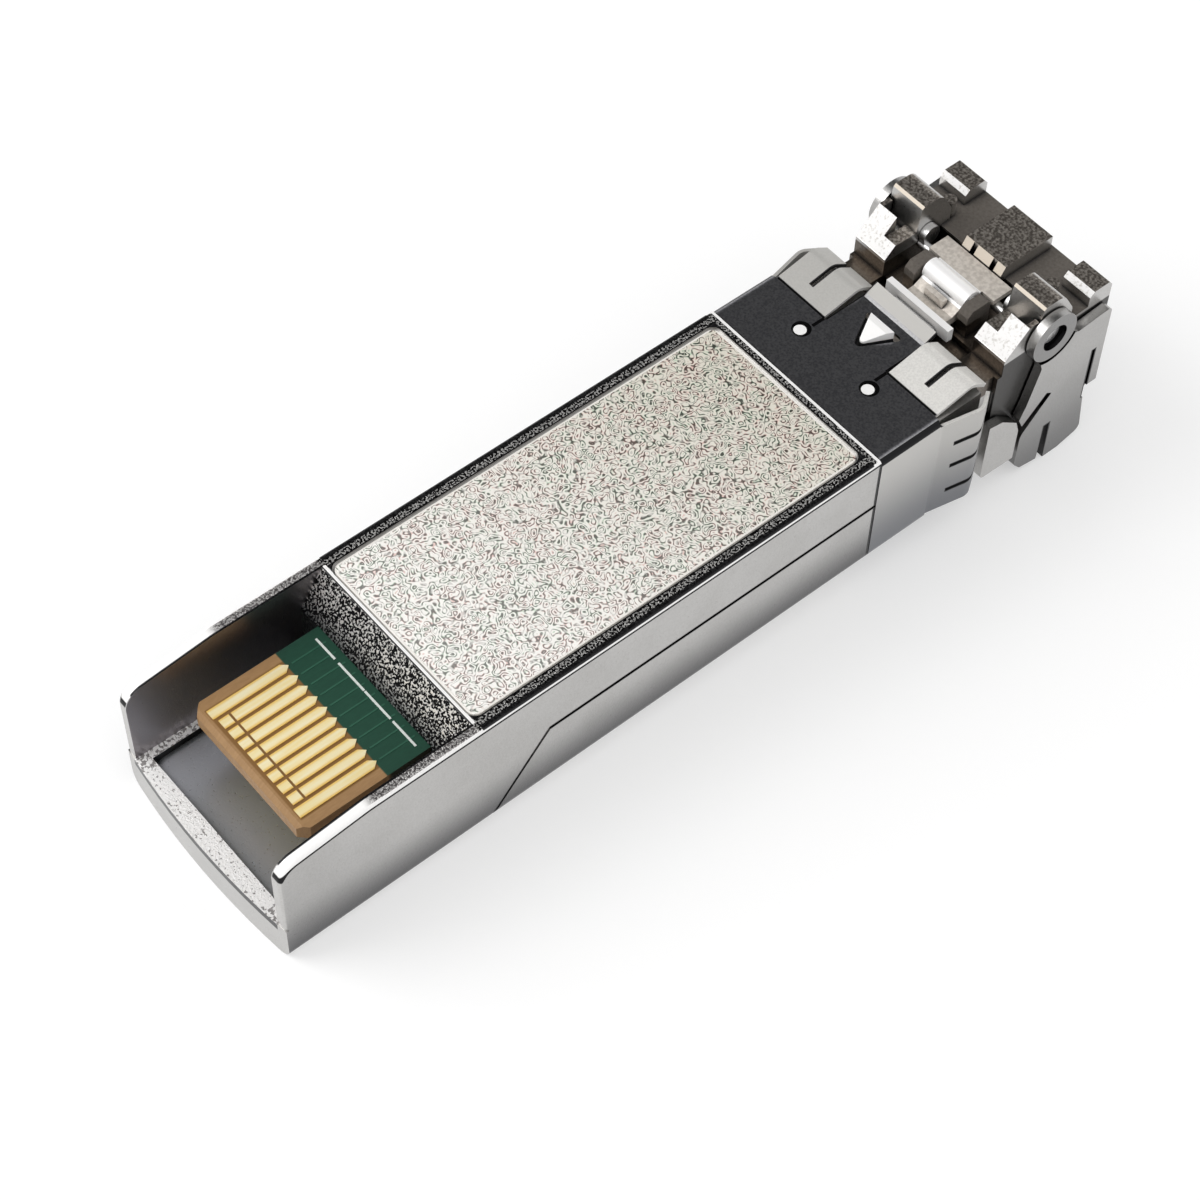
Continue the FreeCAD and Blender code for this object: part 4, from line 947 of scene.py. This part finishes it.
def label_plate():
    mesh = bmesh.new()
    outline = rounded_outline(LABEL_X, LABEL_HALF, LABEL_CORNER)
    foot = mesh.faces.new([mesh.verts.new(at(x, y, LABEL_FOOT)) for x, y in outline])
    raised = bmesh.ops.extrude_face_region(mesh, geom=[foot])["geom"]
    top = [part for part in raised if isinstance(part, bmesh.types.BMVert)]
    bmesh.ops.translate(mesh, verts=top, vec=(0, 0, (LABEL_TOP - LABEL_FOOT) * MM))
    rim = [edge for edge in mesh.edges if all(vert in top for vert in edge.verts)]
    bmesh.ops.bevel(mesh, geom=rim, offset=LABEL_BEVEL * MM, segments=2, profile=0.5, affect="EDGES")
    bmesh.ops.recalc_face_normals(mesh, faces=mesh.faces)
    return made_piece("bare_label", mesh, foil)


label = label_plate()
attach(label, "housing")
print("label plate with", len(label.data.polygons), "faces")

# %% [markdown]
# Softened curves
#
# The nose, the bail and the lever have rounds that arrive as narrow facets. A merged copy of each
# takes the solid's place, so that these facets can be shaded as one curve. Broad faces keep flat
# shading, and every edge stays where the solid has it. Marking sharp edges by their angle makes every
# face smooth, so the flags are put back after it.

# %% Softened copies
MERGE = 0.001
FLAT_TURN = 0.5
CURVE_TURN = (1, 32)
CREASE_TURN = 50
FACET_AREA = 0.6 * MM * MM


def merged(name):
    """A copy of a solid's loose triangles, joined into one skin."""
    mesh = bmesh.new()
    mesh.from_mesh(nodes[name].data)
    bmesh.ops.remove_doubles(mesh, verts=mesh.verts, dist=MERGE * MM)
    return mesh


def turn(edge):
    """The angle between an edge's two faces, in degrees."""
    return math.degrees(edge.calc_face_angle(0.0))


def softened(name, body):
    mesh = merged(name)
    flat = math.radians(FLAT_TURN)
    bmesh.ops.dissolve_limit(mesh, angle_limit=flat, verts=mesh.verts, edges=mesh.edges)
    for face in mesh.faces:
        curved = any(CURVE_TURN[0] < turn(edge) < CURVE_TURN[1] for edge in face.edges)
        face.smooth = curved and face.calc_area() < FACET_AREA
    bmesh.ops.triangulate(mesh, faces=[face for face in mesh.faces if len(face.verts) > 4])
    piece = made_piece(name + "_softened", mesh, nodes[name].data.materials[0])
    smoothed = [face.use_smooth for face in piece.data.polygons]
    piece.data.set_sharp_from_angle(angle=math.radians(CREASE_TURN))
    piece.data.polygons.foreach_set("use_smooth", smoothed)
    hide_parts(name)
    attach(piece, body)
    print(piece.name, "has", sum(smoothed), "smooth faces of", len(smoothed))


softened("nose_housing", "housing")
softened("bail", "bail")
softened("latch_lever", "latch")

# %% [markdown]
# A leaf spring
#
# The leaf spring under the lever stands on the nose with one end, while its other end follows the
# lever. A merged copy of it takes the solid's place.

# %% Leaf spring
LEAF_ROOT = 44.9
LEAF_TIP = 43.5
LEAF_Z = 6.5
LEAF_CREASE = 30

leaf = made_piece("latch_leaf", merged("latch_spring"), nodes["latch_spring"].data.materials[0])
leaf.data.set_sharp_from_angle(angle=math.radians(LEAF_CREASE))
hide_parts("latch_spring")
at(LEAF_ROOT, 0, LEAF_Z)
at(LEAF_TIP, 0, LEAF_Z)
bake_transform(leaf)
leaf_reach = round(LEAF_ROOT - LEAF_TIP, 2)
print("leaf spring with", len(leaf.data.polygons), "faces bends over", leaf_reach, "mm")

# %% [markdown]
# The studio
#
# The module rests on its rear foot and on the bail's handle, which hangs lower, so the floor slopes by
# a few degrees to carry both. Its paper is a light grey that catches the shadow, and a glow that only
# the camera, mirrors and glass see makes it white without more light on the metal.

# %% Floor
FLOOR_HALF = 0.6
FLOOR_GAP = 0.02
FLOOR_GREY = 0.62
FLOOR_GLOW = 0.4
REAR_FOOT = 0.4
HANDLE_INSET = 3.3

rear_foot = at(REAR_FOOT, 0, 0)
bail_low, bail_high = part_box("bail")
handle_foot = Vector((bail_high.x - HANDLE_INSET * MM, 0, bail_low.z))
slope = (handle_foot.z - rear_foot.z) / (handle_foot.x - rear_foot.x)
corners = []
for side_x, side_y in ((-1, -1), (1, -1), (1, 1), (-1, 1)):
    corner_x = side_x * FLOOR_HALF
    corner_z = rear_foot.z + slope * (corner_x - rear_foot.x) - FLOOR_GAP * MM
    corners.append((corner_x, side_y * FLOOR_HALF, corner_z))
floor_mesh = bpy.data.meshes.new("studio_floor")
floor_mesh.from_pydata(corners, [], [(0, 1, 2, 3)])
floor = link_new("studio_floor", floor_mesh)

paper = bpy.data.materials.new("floor_paper")
paper.use_nodes = True
sheet = Graph(paper.node_tree)
sheet_shader = sheet.tree.nodes["Principled BSDF"]
sheet_shader.inputs["Base Color"].default_value = rgb(FLOOR_GREY, FLOOR_GREY, FLOOR_GREY)
sheet_shader.inputs["Roughness"].default_value = 0.9
sheet_shader.inputs["Specular IOR Level"].default_value = 0.0
sheet_shader.inputs["Emission Strength"].default_value = 1.0
path = sheet.add("ShaderNodeLightPath").socket.node.outputs
looked_at = [Tone(sheet, path["Is " + ray + " Ray"]) for ray in ("Camera", "Glossy", "Transmission")]
white = rgb(FLOOR_GLOW, FLOOR_GLOW, FLOOR_GLOW)
glow = sheet.mix(sheet.any_of(*looked_at), rgb(0.0, 0.0, 0.0), white)
sheet.tree.links.new(glow.socket, sheet_shader.inputs["Emission Color"])
floor_mesh.materials.append(paper)
print("floor slopes by", round(math.degrees(math.atan(slope)), 2), "degrees")

# %% [markdown]
# Plated metal shows its surroundings more than itself. A white sky makes the sides light. One round
# dark flag with a soft edge hangs in that sky, where the upper faces mirror it towards the camera, and
# so gives them their charcoal tone.

# %% Sky
SKY = 0.95
FLAG = 0.06
FLAG_WAY = Vector((0.384, 0.436, 0.814)).normalized()
FLAG_CORE = math.radians(14)
FLAG_EDGE = math.radians(32)

scene.view_settings.view_transform = "Standard"
scene.world = bpy.data.worlds.new("studio_sky")
scene.world.use_nodes = True
sky = Graph(scene.world.node_tree)
toward = sky.add("ShaderNodeTexCoord", out="Generated")
along = sky.add(
    "ShaderNodeVectorMath", {"operation": "DOT_PRODUCT"}, out="Value", _0=toward, _1=FLAG_WAY,
)
flag = sky.step(along, math.cos(FLAG_EDGE), math.cos(FLAG_CORE))
strength = SKY - (SKY - FLAG) * flag
background = sky.tree.nodes["Background"]
background.inputs["Color"].default_value = rgb(1.0, 1.0, 1.0)
sky.tree.links.new(strength.socket, background.inputs["Strength"])
print("sky with a dark flag")

# %% [markdown]
# One soft lamp stands high on the left of the picture. It draws the highlights along the edges and
# gives the object a faint shadow. It is weak, because the sky already lights the object plainly.

# %% Key lamp
KEY_PLACE = Vector((-0.19, 0.16, 0.24))
KEY_SIZE = 0.2
KEY_WATTS = 0.45

lamp = bpy.data.lights.new("key_box", "AREA")
lamp.size = KEY_SIZE
lamp.energy = KEY_WATTS
key_box = bpy.data.objects.new("key_box", lamp)
key_box.location = KEY_PLACE
key_box.rotation_euler = (-KEY_PLACE).to_track_quat("-Z", "Y").to_euler()
scene.collection.objects.link(key_box)
print("key lamp at", [round(v, 3) for v in KEY_PLACE])

# %% [markdown]
# The camera
#
# The view was fitted to the photograph with the module's known sizes: a long lens, about 150 mm
# away, looking down from the rear left, with a slight roll.

# %% Camera
VIEW_AZIMUTH = math.radians(-41.40)
VIEW_ELEVATION = math.radians(54.47)
VIEW_ROLL = math.radians(1.99)
VIEW_DISTANCE = 146.53
VIEW_SLIDE = (-1.89, -3.20)
VIEW_CENTRE = at(28.0, 0, 4.0)
VIEW_SENSOR = 36.0
VIEW_LENS = 84.0

back = Vector((
    math.sin(VIEW_AZIMUTH) * math.cos(VIEW_ELEVATION),
    -math.cos(VIEW_AZIMUTH) * math.cos(VIEW_ELEVATION),
    math.sin(VIEW_ELEVATION),
))
level = Vector((math.cos(VIEW_AZIMUTH), math.sin(VIEW_AZIMUTH), 0))
upright = back.cross(level)
right = math.cos(VIEW_ROLL) * level + math.sin(VIEW_ROLL) * upright
up = math.cos(VIEW_ROLL) * upright - math.sin(VIEW_ROLL) * level
eye = VIEW_CENTRE + (right * VIEW_SLIDE[0] + up * VIEW_SLIDE[1] + back * VIEW_DISTANCE) * MM
lens = bpy.data.cameras.new("view_camera")
lens.sensor_width = VIEW_SENSOR
lens.lens = VIEW_LENS
lens.clip_start = MM
camera = bpy.data.objects.new("view_camera", lens)
camera.matrix_world = Matrix((right, up, back)).transposed().to_4x4()
camera.matrix_world.translation = eye
scene.collection.objects.link(camera)
scene.camera = camera
print("camera at", [round(v, 4) for v in eye])
